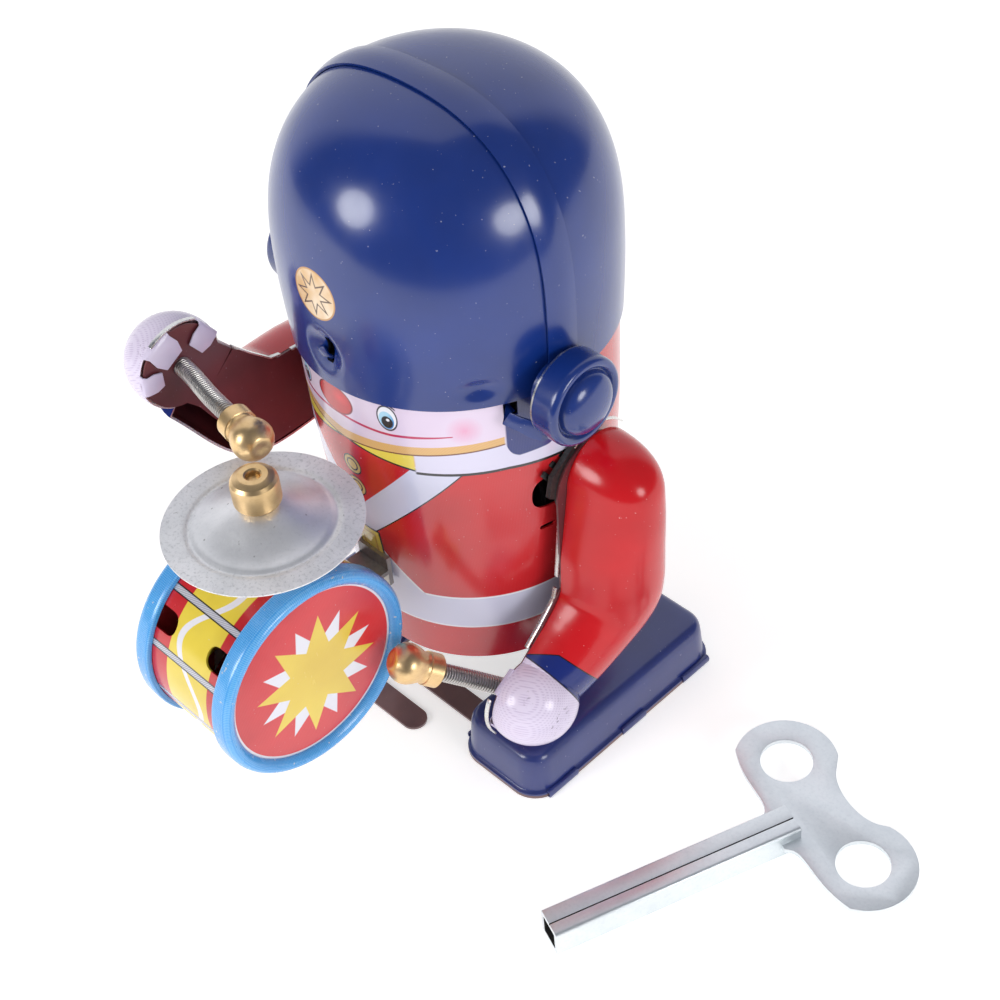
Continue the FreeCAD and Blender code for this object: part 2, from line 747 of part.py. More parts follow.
def build_foot(name, side):
    """One leg with its shoe, sole and rivets; both feet are one design, mirrored."""
    tin = size("tin")
    sole = size("sole_thick")
    height = size("shoe_height")
    leg_x = size("leg_x")
    leg_thick = size("leg_thick")
    centre = leg_centre_y()
    stem = size("leg_stem_width") / 2
    shift = 0.0 if side > 0 else -2 * size("crank_throw")

    draft = size("shoe_draft")
    shoe = shoe_block(0, sole, height, draft).cut(shoe_block(tin, sole, height - tin, draft))
    lip = shoe_block(-0.5, sole, sole + 0.4).cut(shoe_block(0.2, sole, sole + 0.4))
    slot = box(
        (leg_x - 0.1, centre - stem - 0.2, height - 2),
        (leg_x + leg_thick + 0.1, centre + stem + 0.2, height + 2),
    )
    shoe = shoe.fuse(lip).cut(slot)

    sole_plate = shoe_block(-0.5, 0, sole)
    tongue_y = size("shoe_mid_y") + size("crank_throw") - size("tongue_ahead")
    half = size("tongue_width") / 2
    raise_z = 0.8 if side > 0 else 0.0
    reach = size("tongue_reach") - half
    inner_end = size("shoe_centre_x") - 7.0
    tongue = box((-reach, tongue_y - half, raise_z), (inner_end, tongue_y + half, raise_z + 0.5))
    end = Part.makeCylinder(half, 0.5, vector(-reach, tongue_y, raise_z))
    tongue = tongue.fuse(end)
    if side > 0:
        window_half = half + 0.1
        window = box((0, tongue_y - window_half, 0.65), (inner_end + 0.1, tongue_y + window_half, 1.45))
        shoe = shoe.cut(window)
        riser = box((14.4, tongue_y - half, sole - 0.05), (15.1, tongue_y + half, raise_z + 0.5))
        tongue = tongue.fuse(riser)
    sole_plate = sole_plate.fuse(tongue).removeSplitter()

    top_z = 52.0
    yoke = size("crank_y")
    leg = upright_prism([
        (centre - stem, sole), (centre + stem, sole), (centre + stem, 32.8),
        (centre + 0.2, 33.8), (centre + 0.2, 40.2), (centre + stem - 1.0, 41.2),
        (centre + stem - 1.0, top_z), (yoke - 2.5, top_z), (yoke - 2.5, 40.0), (centre - stem, 34.0),
    ], leg_thick, leg_x)
    foot = box((leg_x, centre - stem, sole), (leg_x + 7.0, centre + stem, sole + leg_thick))
    leg = leg.fuse(foot).removeSplitter()
    rivets = []
    for y in (centre - 2.2, centre + 2.2):
        rivets.append(Part.makeCylinder(1.1, 0.7, vector(leg_x + 4.5, y, sole + leg_thick)))
    pieces = (
        ("shoe", shoe), ("sole", sole_plate), ("leg", leg),
        ("shoe_rivets", Part.makeCompound(rivets)),
    )
    for piece, shape in pieces:
        if side < 0:
            shape = mirrored_x(shape)
        shape.translate(vector(0, shift, 0))
        node(shaped(f"{piece}_{name}", shape), f"{piece}_{name}")


# ---------------------------------------------------------------- arms and sticks

def arm_joints():
    """Shoulder, elbow, wrist and hand of the hanging left arm, from its pivot."""
    return (
        vector(0, 0, 0),
        vector(0, -size("elbow_forward"), -size("elbow_drop")),
        vector(0, -size("wrist_forward"), -size("wrist_drop")),
        vector(0, -size("hand_forward"), -size("hand_drop")),
    )


def arm_blank(inset):
    """The hanging left arm as a fat round solid; its outer half becomes the shell."""
    radius = size("arm_radius") - inset
    wrist = size("wrist_radius") - inset
    shoulder, elbow, wrist_at, hand = arm_joints()
    upper = elbow - shoulder
    fore = wrist_at - elbow
    limb = Part.makeSphere(radius, shoulder)
    limb = limb.fuse(Part.makeCylinder(radius, upper.Length, shoulder, upper))
    limb = limb.fuse(Part.makeSphere(radius, elbow))
    limb = limb.fuse(Part.makeCone(radius, wrist, fore.Length, elbow, fore))
    limb = limb.fuse(Part.makeCylinder(wrist, 4.0, wrist_at, fore))
    stretch = FreeCAD.Matrix()
    stretch.scale(size("arm_depth_ratio"), 1.0, 1.0)
    limb = limb.transformGeometry(stretch)
    ball_at = vector(size("hand_out_x") - size("arm_plate_x"), hand.y, hand.z)
    return limb.fuse(Part.makeSphere(size("hand_radius") - inset, ball_at))


def outline_plate(x, thick):
    """A thin plate that closes the arm's open side."""
    radius = size("arm_radius") - 0.3
    wrist = size("wrist_radius") - 0.3
    shoulder, elbow, wrist_at, hand = arm_joints()
    plate = rod_x(radius, x, x + thick, shoulder.y, shoulder.z)
    plate = plate.fuse(rod_x(radius, x, x + thick, elbow.y, elbow.z))
    plate = plate.fuse(rod_x(size("hand_radius") - 0.6, x, x + thick, hand.y, hand.z))
    for start, end, first, last in (
        (shoulder, elbow, radius, radius),
        (elbow, wrist_at, radius, wrist),
        (wrist_at, hand, wrist, wrist),
    ):
        along = (end - start).normalize()
        across = vector(0, -along.z, along.y)
        corners = [start + across * first, end + across * last, end - across * last, start - across * first]
        plate = plate.fuse(upright_prism([(point.y, point.z) for point in corners], thick, x))
    return plate.removeSplitter()


def stick_line(name):
    """Hand end, direction and reach past the hand, for the stick in the arm's hanging place."""
    hand = arm_joints()[3]
    if name == "left":
        return hand, vector(-0.434, -0.691, 0.578).normalize(), 24.9
    return hand, vector(-0.987, 0.011, -0.160).normalize(), 24.5


def stick_shapes(name):
    """The close-wound spring as a sleeve, and the turned knob pushed over its end."""
    hand, direction, reach = stick_line(name)
    knob_length = size("knob_length")
    tip = hand + direction * reach
    start = tip - direction * size("stick_length")
    overlap = 3.0
    spring_length = size("stick_length") - knob_length + overlap
    spring = Part.makeCylinder(size("spring_radius"), spring_length, start, direction)
    spring = spring.cut(Part.makeCylinder(size("spring_bore"), spring_length, start, direction))
    radius = size("knob_radius")
    profile = [
        (0, 0), (2.4, 0), (2.7, 0.5), (2.6, 1.6), (2.1, 2.6), (2.6, 3.6), (3.2, 4.8),
        (radius, 5.8), (3.1, 7.2), (2.2, 8.3), (1.4, knob_length), (0, knob_length),
    ]
    points = [vector(across, 0, height) for across, height in profile]
    knob = Part.Face(Part.makePolygon(points + points[:1])).revolve(ORIGIN, UP, 360)
    knob = knob.cut(Part.makeCylinder(size("spring_radius"), overlap, ORIGIN, UP))
    knob.Placement = FreeCAD.Placement(tip - direction * knob_length, FreeCAD.Rotation(UP, direction))
    return spring, knob


def arm_bracket():
    """Black plastic bracket behind the arm plate, with the hub that runs into the body."""
    start = size("drive_lever_x") - size("arm_plate_x")
    neck = Part.makeCylinder(size("hub_radius") - 0.5, 1.0, vector(start, 0, 0), ALONG_X)
    hub = Part.makeCylinder(size("hub_radius"), -start - 1.0, vector(start + 1.0, 0, 0), ALONG_X)
    disc = Part.makeCylinder(size("bracket_radius"), 0.9, vector(-0.9, 0, 0), ALONG_X)
    nose = upright_prism([(-9.2, 1.4), (-8.2, 5.0), (-3.0, 8.6), (0.0, 6.0), (-6.0, -1.0)], 0.9, -0.9)
    bore = Part.makeCylinder(1.2 + size("bearing_play"), 3.2, vector(start - 0.1, 0, 0), ALONG_X)
    return hub.fuse([neck, disc, nose]).cut(bore).removeSplitter()


def drive_lever():
    """The flat steel lever pressed on the inner end of a hub."""
    start = size("drive_lever_x") - size("arm_plate_x")
    length = size("drive_lever_length")
    lever = upright_prism([(-3.2, 0), (-2.0, -length), (2.0, -length), (3.2, 0)], 1.0, start)
    lever = lever.fuse(rod_x(3.2, start, start + 1.0, 0, 0))
    return lever.cut(rod_x(size("hub_radius") - 0.5, -FAR, FAR, 0, 0)).removeSplitter()


def build_arm(name, side):
    """Outer shell, inner plate, bracket with hub, drive lever and the spring stick."""
    tin = size("tin")
    outer_side = box((tin + 0.05, -FAR, -FAR), (FAR, FAR, FAR))
    shell = arm_blank(0).cut(arm_blank(tin)).common(outer_side)
    hand, direction, reach = stick_line(name)
    stick_hole = Part.makeCylinder(size("spring_radius"), 8.0, hand - direction * 4.0, direction)
    plate = outline_plate(0.0, tin).cut(stick_hole)
    spring, knob = stick_shapes(name)
    place = vector(size("arm_plate_x"), size("pivot_y"), size("pivot_z"))
    turning = (
        ("arm_shell", shell), ("arm_plate", plate), ("arm_bracket", arm_bracket()),
        ("stick_spring", spring), ("stick_knob", knob),
    )
    lift = 0.0 if side > 0 else -size("right_arm_lift")
    pieces = [(piece, shape.rotated(ORIGIN, ALONG_X, lift)) for piece, shape in turning]
    pieces.append(("drive_lever", drive_lever()))
    for piece, shape in pieces:
        shape.translate(place)
        if side < 0:
            shape = mirrored_x(shape)
        node(shaped(f"{piece}_{name}", shape), f"{piece}_{name}")


# ---------------------------------------------------------------- winding key

def build_key():
    """The loose key: a two-lobed wing pressed onto a folded square tube."""
    thick = size("key_thick")
    half = size("key_hole_spacing") / 2
    lobe = size("key_lobe_radius")
    tube = size("key_tube")
    mid = tube / 2 - thick / 2
    wing = Part.makeCylinder(lobe, thick, vector(-half, 0, mid))
    wing = wing.fuse(Part.makeCylinder(lobe, thick, vector(half, 0, mid)))
    neck = [(-half, 6.6), (half, 6.6), (half - 3.0, -6.0), (4.2, -9.5), (-4.2, -9.5), (3.0 - half, -6.0)]
    points = [vector(x, y, mid) for x, y in neck]
    wing = wing.fuse(Part.Face(Part.makePolygon(points + points[:1])).extrude(vector(0, 0, thick)))
    for x in (-half, half):
        wing = wing.cut(Part.makeCylinder(size("key_hole_radius"), 4 * thick, vector(x, 0, mid - thick)))
    wall = size("key_tube_wall")
    length = size("key_shank")
    start = 6.0
    outer = box((-tube / 2, -start - length, 0), (tube / 2, -start, tube))
    inner = box((wall - tube / 2, -start - length - 1, wall), (tube / 2 - wall, -start - 6, tube - wall))
    shank = outer.cut(inner).cut(wing)
    middle = vector(size("key_x"), size("key_y"), 0)
    turn = FreeCAD.Placement(middle, FreeCAD.Rotation(UP, size("key_turn")))
    for name, shape in (("key_wing", wing.removeSplitter()), ("key_shank", shank)):
        part = shaped(name, shape)
        part.Placement = turn
        node(part, name)


# ---------------------------------------------------------------- build, check, write

build_helmet()
build_ear("ear_disc_left", 1)
build_ear("ear_disc_right", -1)
build_body()
build_floor_plate()
build_drum()
build_drum_bracket()
build_cymbal()
build_movement_frame()
build_winding()
build_train()
build_foot("left", 1)
build_foot("right", -1)
build_arm("left", 1)
build_arm("right", -1)
build_key()
doc.recompute()

for obj in doc.Objects:
    if any(word in obj.State for word in ("Invalid", "Error")):
        raise RuntimeError(f"{obj.Label} failed: {obj.State}")

os.makedirs("parts", exist_ok=True)
for obj in NODES:
    shape = obj.Shape
    if shape.isNull() or not shape.isValid() or shape.Volume <= 0:
        raise RuntimeError(f"{obj.Label} has no valid shape")
    shape.exportStep(f"parts/{obj.Label}.step")
print(len(NODES), "sub-parts written")
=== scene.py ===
import math

import bmesh
import bpy
from mathutils import Matrix, Vector


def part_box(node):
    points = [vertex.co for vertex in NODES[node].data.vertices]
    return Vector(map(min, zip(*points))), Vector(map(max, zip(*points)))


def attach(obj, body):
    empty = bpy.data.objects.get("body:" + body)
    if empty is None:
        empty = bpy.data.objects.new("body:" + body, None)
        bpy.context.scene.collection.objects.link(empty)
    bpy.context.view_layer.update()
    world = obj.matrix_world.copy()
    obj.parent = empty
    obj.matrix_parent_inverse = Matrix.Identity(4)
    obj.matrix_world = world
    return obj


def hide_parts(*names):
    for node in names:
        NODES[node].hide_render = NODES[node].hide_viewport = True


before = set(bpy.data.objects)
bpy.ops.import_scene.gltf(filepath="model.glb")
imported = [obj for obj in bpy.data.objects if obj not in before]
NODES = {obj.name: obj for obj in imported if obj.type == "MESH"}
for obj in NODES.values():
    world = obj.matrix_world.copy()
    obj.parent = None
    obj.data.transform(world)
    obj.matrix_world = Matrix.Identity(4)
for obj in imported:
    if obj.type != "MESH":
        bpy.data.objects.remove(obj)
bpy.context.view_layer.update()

MM = 0.001


# ------------------------------------------------------------------ formulas as shader nodes

class Num:
    """A number inside a material, so that a printed pattern can be written as a formula."""

    def __init__(self, tree, socket):
        self.tree = tree
        self.socket = socket

    def op(self, name, *others, clamp=False):
        """A math node on this number and others."""
        node = self.tree.nodes.new("ShaderNodeMath")
        node.operation = name
        node.use_clamp = clamp
        for slot, value in zip(node.inputs, (self,) + others):
            if isinstance(value, Num):
                self.tree.links.new(value.socket, slot)
            else:
                slot.default_value = float(value)
        return Num(self.tree, node.outputs[0])

    def __add__(self, other):
        return self.op("ADD", other)

    def __sub__(self, other):
        return self.op("SUBTRACT", other)

    def __rsub__(self, other):
        return self.op("MULTIPLY", -1.0).op("ADD", other)

    def __mul__(self, other):
        return self.op("MULTIPLY", other)

    def __truediv__(self, other):
        return self.op("DIVIDE", other)

    __radd__ = __add__
    __rmul__ = __mul__

    def __abs__(self):
        return self.op("ABSOLUTE")

    def __neg__(self):
        return self.op("MULTIPLY", -1.0)


def most(first, *rest):
    for other in rest:
        first = first.op("MAXIMUM", other)
    return first


def length(a, b):
    return (a * a + b * b).op("SQRT")


def inside(distance, soft=0.05):
    """1 where a distance is negative, 0 where it is positive, with a narrow soft edge."""
    return (0.5 - distance / (2 * soft)).op("ADD", 0.0, clamp=True)


def fade(value, low, high):
    """0 below low, 1 above high."""
    return ((value - low) / (high - low)).op("ADD", 0.0, clamp=True)


class Paint:
    """A lacquered, printed or bare metal surface, built from nodes."""

    def __init__(self, name):
        self.material = bpy.data.materials.new(name)
        self.material.use_nodes = True
        self.tree = self.material.node_tree
        self.shader = self.tree.nodes["Principled BSDF"]
        self.look = None

    def node(self, kind, **settings):
        made = self.tree.nodes.new(kind)
        for key, value in settings.items():
            setattr(made, key, value)
        return made

    def where(self, attribute=None):
        """The place on the piece in mm: its own rest place, or a stored one."""
        if attribute:
            source = self.node("ShaderNodeAttribute", attribute_name=attribute)
            socket = source.outputs["Vector"]
            scale = 1.0
        else:
            source = self.node("ShaderNodeTexCoord")
            socket = source.outputs["Object"]
            scale = 1000.0
        split = self.node("ShaderNodeSeparateXYZ")
        self.tree.links.new(socket, split.inputs[0])
        parts = [Num(self.tree, split.outputs[i]) for i in range(3)]
        return parts if scale == 1.0 else [part * scale for part in parts]

    def noise(self, scale, detail=3.0, rough=0.5, stretch=(1, 1, 1)):
        """Noise of a given size: scale is the number of features per metre, over a thousand."""
        coord = self.node("ShaderNodeTexCoord")
        mapping = self.node("ShaderNodeMapping")
        mapping.inputs["Scale"].default_value = [1000 * factor for factor in stretch]
        self.tree.links.new(coord.outputs["Object"], mapping.inputs["Vector"])
        source = self.node("ShaderNodeTexNoise")
        source.inputs["Scale"].default_value = scale
        source.inputs["Detail"].default_value = detail
        source.inputs["Roughness"].default_value = rough
        self.tree.links.new(mapping.outputs[0], source.inputs["Vector"])
        return Num(self.tree, source.outputs[0])

    def mix(self, under, over, share):
        """Colour over laid on colour under; a colour is a tuple or a socket."""
        node = self.node("ShaderNodeMix", data_type="RGBA", clamp_factor=True)
        for value, slot in ((under, node.inputs[6]), (over, node.inputs[7]), (share, node.inputs[0])):
            if isinstance(value, Num):
                self.tree.links.new(value.socket, slot)
            elif isinstance(value, (tuple, list)):
                slot.default_value = (*value, 1.0)
            else:
                self.tree.links.new(value, slot)
        return node.outputs[2]

    def over(self, colour, share):
        """Print one more colour on the look so far."""
        self.look = self.mix(self.look, colour, share)

    def apply(self):
        self.tree.links.new(self.look, self.shader.inputs["Base Color"])

    def set(self, **values):
        for key, value in values.items():
            slot = self.shader.inputs[key.replace("_", " ")]
            if isinstance(value, Num):
                self.tree.links.new(value.socket, slot)
            else:
                slot.default_value = value

    def bump(self, height, strength, distance):
        node = self.node("ShaderNodeBump")
        node.inputs["Strength"].default_value = strength
        node.inputs["Distance"].default_value = distance * MM
        self.tree.links.new(height.socket, node.inputs["Height"])
        for slot in ("Normal", "Coat Normal"):
            self.tree.links.new(node.outputs[0], self.shader.inputs[slot])


def srgb(red, green, blue):
    """A colour given as 0 to 255 screen values, as linear light."""
    out = []
    for value in (red, green, blue):
        part = value / 255
        out.append(part / 12.92 if part <= 0.04045 else ((part + 0.055) / 1.055) ** 2.4)
    return tuple(out)


RED = srgb(196, 14, 24)
NAVY = srgb(20, 38, 112)
SHOE_NAVY = srgb(30, 42, 104)
LILAC = srgb(214, 204, 228)
STRAP = srgb(206, 206, 228)
FACE = srgb(226, 212, 230)
YELLOW = srgb(226, 204, 78)
BLACK = srgb(18, 16, 20)
WHITE = srgb(232, 232, 242)


DUST = (0.75, 0.76, 0.80)
DUST_LEVEL = 0.765


def lacquer(paint, gloss, wave, shine=1.0):
    """The look so far under baked lacquer: clear coat, faint ripple and wiped streaks."""
    paint.apply()
    ripple = paint.noise(0.16, 2.0)
    peel = paint.noise(2.2, 2.0)
    paint.bump(ripple * wave + peel * 0.012, 0.35, 0.12)
    streak = paint.noise(0.5, 4.0, 0.6, (1.0, 1.0, 0.25))
    paint.set(Roughness=streak * 0.12 + gloss + 0.06, IOR=1.46 + 0.14 * shine)
    paint.set(Coat_Weight=0.35 * shine, Coat_Roughness=0.12, Coat_IOR=1.5)
    return paint.material


def specks(paint):
    """A few tiny pale dust specks and pinholes in the lacquer."""
    spot = paint.noise(2.3, 1.0)
    paint.over(DUST, fade(spot, DUST_LEVEL, DUST_LEVEL + 0.04) * 0.30)


def plain_lacquer(name, base, deep, gloss, wave):
    """One lacquer colour with slow tone changes and specks."""
    paint = Paint(name)
    tone = paint.noise(0.08, 3.0)
    paint.look = paint.mix(base, deep, fade(tone, 0.35, 0.75))
    specks(paint)
    return lacquer(paint, gloss, wave)


def metal(name, base, dark, rough, grain=(1, 1, 1), scale=1.0, depth=0.3):
    """Bare or plated metal with a grain and tarnish."""
    paint = Paint(name)
    tarnish = paint.noise(0.12, 5.0, 0.65)
    fine = paint.noise(scale, 4.0, 0.6, grain)
    paint.look = paint.mix(base, dark, fade(tarnish, 0.42, 0.72) * 0.7)
    paint.over(dark, fade(fine, 0.5, 0.8) * 0.5)
    paint.apply()
    paint.set(Metallic=1.0, Roughness=fine * 0.25 + (rough - 0.12))
    paint.bump(fine, depth, 0.06)
    return paint.material


BLUE_TIN = plain_lacquer("blue_lacquer", srgb(12, 40, 108), srgb(18, 50, 126), 0.12, 0.35)
SHOE_TIN = plain_lacquer("shoe_lacquer", SHOE_NAVY, srgb(36, 50, 118), 0.20, 0.6)
BROWN_TIN = plain_lacquer("brown_lacquer", srgb(104, 40, 46), srgb(64, 26, 34), 0.30, 1.2)
SOLE_TIN = plain_lacquer("sole_lacquer", srgb(118, 84, 84), srgb(84, 60, 64), 0.30, 0.8)
BARE_EDGE = metal("bare_tin_edge", (0.80, 0.80, 0.78), (0.45, 0.43, 0.40), 0.28, scale=2.0)
INNER_TIN = metal("inner_tin", (0.42, 0.38, 0.34), (0.22, 0.18, 0.15), 0.45, scale=1.2)
STEEL = metal("steel", (0.56, 0.56, 0.57), (0.30, 0.29, 0.28), 0.34, (1, 1, 5), 1.4)
SPRING_STEEL = metal("spring_steel", (0.62, 0.60, 0.57), (0.34, 0.31, 0.29), 0.30, scale=1.6)
ZINC = metal("zinc_plate", (0.84, 0.88, 0.90), (0.70, 0.75, 0.78), 0.46, scale=1.8, depth=0.15)
BRASS = metal("turned_brass", (0.90, 0.64, 0.34), (0.66, 0.43, 0.18), 0.36, (1, 1, 6), 1.2, 0.15)
GEAR_BRASS = metal("gear_brass", (0.72, 0.55, 0.26), (0.45, 0.32, 0.12), 0.36, scale=1.4)


def black_plastic():
    paint = Paint("black_plastic")
    grain = paint.noise(2.6, 3.0)
    paint.look = paint.mix(srgb(26, 25, 26), srgb(52, 50, 48), fade(grain, 0.45, 0.8))
    paint.apply()
    paint.set(Roughness=grain * 0.3 + 0.30, IOR=1.5)
    paint.bump(grain, 0.3, 0.05)
    return paint.material


def dark_gap():
    """Painted shade: near-black colour for the unlit inside of slots, holes, the key's bore and the helmet
    shells.
    """
    paint = Paint("dark_gap")
    # random tone variation across the painted shade
    shade_tone = paint.noise(1.0, 3.0)
    paint.look = paint.mix(srgb(10, 9, 10), srgb(26, 22, 22), shade_tone)
    paint.apply()
    paint.set(Roughness=shade_tone * 0.3 + 0.6)
    return paint.material


BLACK_PLASTIC = black_plastic()
# DARK is painted shade for the unlit inside of slots, holes, the key's bore and the helmet shells.
DARK = dark_gap()
DRUM_BRACKET_TIN = metal("bracket_tin", (0.50, 0.48, 0.45), (0.24, 0.22, 0.20), 0.40, scale=1.4)


# ------------------------------------------------------------------ meshes

def finish_mesh(obj, angle=32):
    """Smooth shading with sharp folds where faces meet at a steep angle."""
    bm = bmesh.new()
    bm.from_mesh(obj.data)
    bmesh.ops.remove_doubles(bm, verts=bm.verts, dist=1e-7)
    bmesh.ops.recalc_face_normals(bm, faces=bm.faces)
    bm.to_mesh(obj.data)
    bm.free()
    obj.data.shade_smooth()
    obj.data.set_sharp_from_angle(angle=math.radians(angle))
    return obj


def bake(obj):
    """Replace an object's mesh by what its modifiers make of it."""
    graph = bpy.context.evaluated_depsgraph_get()
    mesh = bpy.data.meshes.new_from_object(obj.evaluated_get(graph))
    obj.modifiers.clear()
    obj.data = mesh
    return obj


def show(name, mesh, materials, angle=32):
    """Put a filled mesh into the scene as an object with its materials."""
    for material in materials:
        mesh.materials.append(material)
    obj = bpy.data.objects.new(name, mesh)
    bpy.context.scene.collection.objects.link(obj)
    return finish_mesh(obj, angle)


def make(name, points, faces, materials, angle=32):
    """A mesh object from points in mm."""
    mesh = bpy.data.meshes.new(name)
    mesh.from_pydata([tuple(value * MM for value in point) for point in points], [], faces)
    return show(name, mesh, materials, angle)


def ring_faces(rings, count):
    """Four-sided faces between neighbouring rings of points, each ring closed on itself."""
    faces = []
    for here in range(0, (rings - 1) * count, count):
        for step in range(count):
            after = (step + 1) % count
            faces.append((here + step, here + after, here + count + after, here + count + step))
    return faces


def arc(centre, wide, high, degrees):
    """Points of an ellipse, at angles in degrees."""
    points = []
    for turn in degrees:
        angle = math.radians(turn)
        points.append((centre[0] + wide * math.cos(angle), centre[1] + high * math.sin(angle)))
    return points


def rectangle(half_x, half_y):
    return [(-half_x, -half_y), (half_x, -half_y), (half_x, half_y), (-half_x, half_y)]


def round_corners(points, radius, steps=4):
    """A closed 2D outline with its corners turned into arcs."""
    out = []
    count = len(points)
    for index, point in enumerate(points):
        here = Vector(point)
        before = Vector(points[index - 1]) - here
        after = Vector(points[(index + 1) % count]) - here
        reach = min(radius, 0.48 * before.length, 0.48 * after.length)
        start = here + before.normalized() * reach
        end = here + after.normalized() * reach
        for step in range(steps + 1):
            share = step / steps
            out.append(tuple((1 - share) ** 2 * start + 2 * share * (1 - share) * here + share ** 2 * end))
    return out


def lathe(name, profile, place, materials, steps=96, closed=False, angle=32):
    """A turned shape: (radius, height) points spun round the Z axis of a placing matrix."""
    points = []
    faces = []
    rows = len(profile)
    for step in range(steps):
        turn = 2 * math.pi * step / steps
        for radius, height in profile:
            points.append(place @ Vector((radius * math.cos(turn), radius * math.sin(turn), height)))
    last = rows if closed else rows - 1
    for step in range(steps):
        here = step * rows
        there = ((step + 1) % steps) * rows
        for row in range(last):
            after = (row + 1) % rows
            faces.append((here + row, there + row, there + after, here + after))
    obj = make(name, points, faces, materials, angle)
    drop_flat_faces(obj)
    return finish_mesh(obj, angle)


def drop_flat_faces(obj):
    """Take out the faces with no area that a turned shape has on its axis."""
    bm = bmesh.new()
    bm.from_mesh(obj.data)
    bmesh.ops.dissolve_degenerate(bm, dist=1e-7, edges=bm.edges)
    bm.to_mesh(obj.data)
    bm.free()


def along_x(x, y, z, side=1):
    """Placing matrix whose own Z runs along +X (or -X)."""
    turn = Matrix.Rotation(math.radians(90 * side), 4, "Y")
    return Matrix.Translation((x, y, z)) @ turn


def along(start, direction):
    """Placing matrix at a point with its own Z along a direction."""
    turn = Vector((0, 0, 1)).rotation_difference(Vector(direction)).to_matrix().to_4x4()
    return Matrix.Translation(start) @ turn


def slab(name, outline, thickness, place, materials):
    """A flat plate from an outline in the XY plane of a placing matrix."""
    count = len(outline)
    points = [place @ Vector((x, y, 0)) for x, y in outline]
    points += [place @ Vector((x, y, thickness)) for x, y in outline]
    faces = [tuple(range(count))[::-1], tuple(range(count, 2 * count))]
    faces += [(i, (i + 1) % count, count + (i + 1) % count, count + i) for i in range(count)]
    return make(name, points, faces, materials)


def soften(obj, width, angle=40):
    """Round the sharp edges over by a width in mm."""
    modifier = obj.modifiers.new("soft_edges", "BEVEL")
    modifier.width = width * MM
    modifier.segments = 2
    modifier.limit_method = "ANGLE"
    modifier.angle_limit = math.radians(angle)
    bake(obj)
    return finish_mesh(obj)


def thicken(obj, thickness, inner=0, rim=0, even=True):
    """Give a sheet its tin thickness, inwards, with its own materials inside and on the cut edge."""
    modifier = obj.modifiers.new("tin", "SOLIDIFY")
    modifier.thickness = thickness * MM
    modifier.offset = -1.0
    modifier.material_offset = inner
    modifier.material_offset_rim = rim
    modifier.use_even_offset = even
    bake(obj)
    return obj


def cut_away(obj, low, high):
    """Cut a box, given by two corners in mm, out of a closed mesh."""
    corners = [(x, y, z) for x in (low[0], high[0]) for y in (low[1], high[1]) for z in (low[2], high[2])]
    faces = [(0, 1, 3, 2), (4, 6, 7, 5), (0, 4, 5, 1), (2, 3, 7, 6), (0, 2, 6, 4), (1, 5, 7, 3)]
    tool = make("cutter", corners, faces, [])
    subtract(obj, tool)
    return obj


def subtract(obj, tool, kind="DIFFERENCE"):
    modifier = obj.modifiers.new("cut", "BOOLEAN")
    modifier.operation = kind
    modifier.solver = "EXACT"
    modifier.object = tool
    bake(obj)
    bpy.data.objects.remove(tool)
    return obj


def pipe(name, path, radius, materials, sides):
    """A round wire along a path of points in mm."""
    points = []
    count = len(path)
    path = [Vector(point) for point in path]
    lead = None
    for index, here in enumerate(path):
        before = path[max(0, index - 1)]
        after = path[min(count - 1, index + 1)]
        tangent = (after - before).normalized()
        if lead is None:
            lead = tangent.orthogonal().normalized()
        lead = (lead - tangent * lead.dot(tangent)).normalized()
        other = tangent.cross(lead)
        for side in range(sides):
            turn = 2 * math.pi * side / sides
            points.append(here + lead * (radius * math.cos(turn)) + other * (radius * math.sin(turn)))
    faces = ring_faces(count, sides)
    faces.append(tuple(range(sides))[::-1])
    faces.append(tuple(range((count - 1) * sides, count * sides)))
    return make(name, points, faces, materials)


def place_piece(obj, body, slot, *nodes):
    """Let a piece ride on a body and hide the CAD nodes it stands for; its slot argument is not used."""
    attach(obj, body)
    if nodes:
        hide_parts(*nodes)
    return obj


def join(name, parts):
    """Several meshes as one object, keeping their materials."""
    bpy.ops.object.select_all(action="DESELECT")
    for part in parts:
        part.select_set(True)
    bpy.context.view_layer.objects.active = parts[0]
    bpy.ops.object.join()
    parts[0].name = name
    parts[0].data.name = name
    return parts[0]


# ------------------------------------------------------------------ sizes shared with the frame, in mm

def corners(node):
    low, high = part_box(node)
    return Vector(low) * 1000, Vector(high) * 1000


def middle(node):
    low, high = corners(node)
    return (low + high) / 2


HELMET_EDGE_Z = corners("helmet_front")[0].z
HELMET_TOP_Z = corners("helmet_back")[1].z - 0.6
HELMET_WIDE_Z = HELMET_EDGE_Z + 13.5
HELMET_EDGE_R = 25.7
HELMET_WIDE_R = 26.2
HELMET_POWER = 2.6
SEAM_Y = corners("helmet_back")[0].y
SEAM_BACK_Y = SEAM_Y + 5.1
SEAM_LIFT = 0.5
TIN = 0.4
BODY_LOW_Z = corners("body_front")[0].z
BODY_LEVELS = ((BODY_LOW_Z, 21.0), (36.0, 22.6), (50.0, 23.9), (62.0, 24.7), (79.0, 25.1))
DRUM = middle("drum_shell")
DRUM_R = 16.9
CYMBAL = middle("cymbal")
CYMBAL_LOW_Z = corners("cymbal")[0].z
PIVOT = Vector((25.9, 1.5, 57.0))
RIGHT_ARM_LIFT = 88.0
PRINT_SCALE = 0.4346
SHOE_SLOT_X = 14.7
KEY_AT = Vector((69.0, 8.3, 0.0))
KEY_TURN = -20.3
KEY_SPACING = 23.4
KEY_LOBE = 8.8
KEY_HOLE = 4.4
KEY_TUBE = 5.6
KEY_SHANK = 44.0
FOREARM = (-0.793, -0.609)


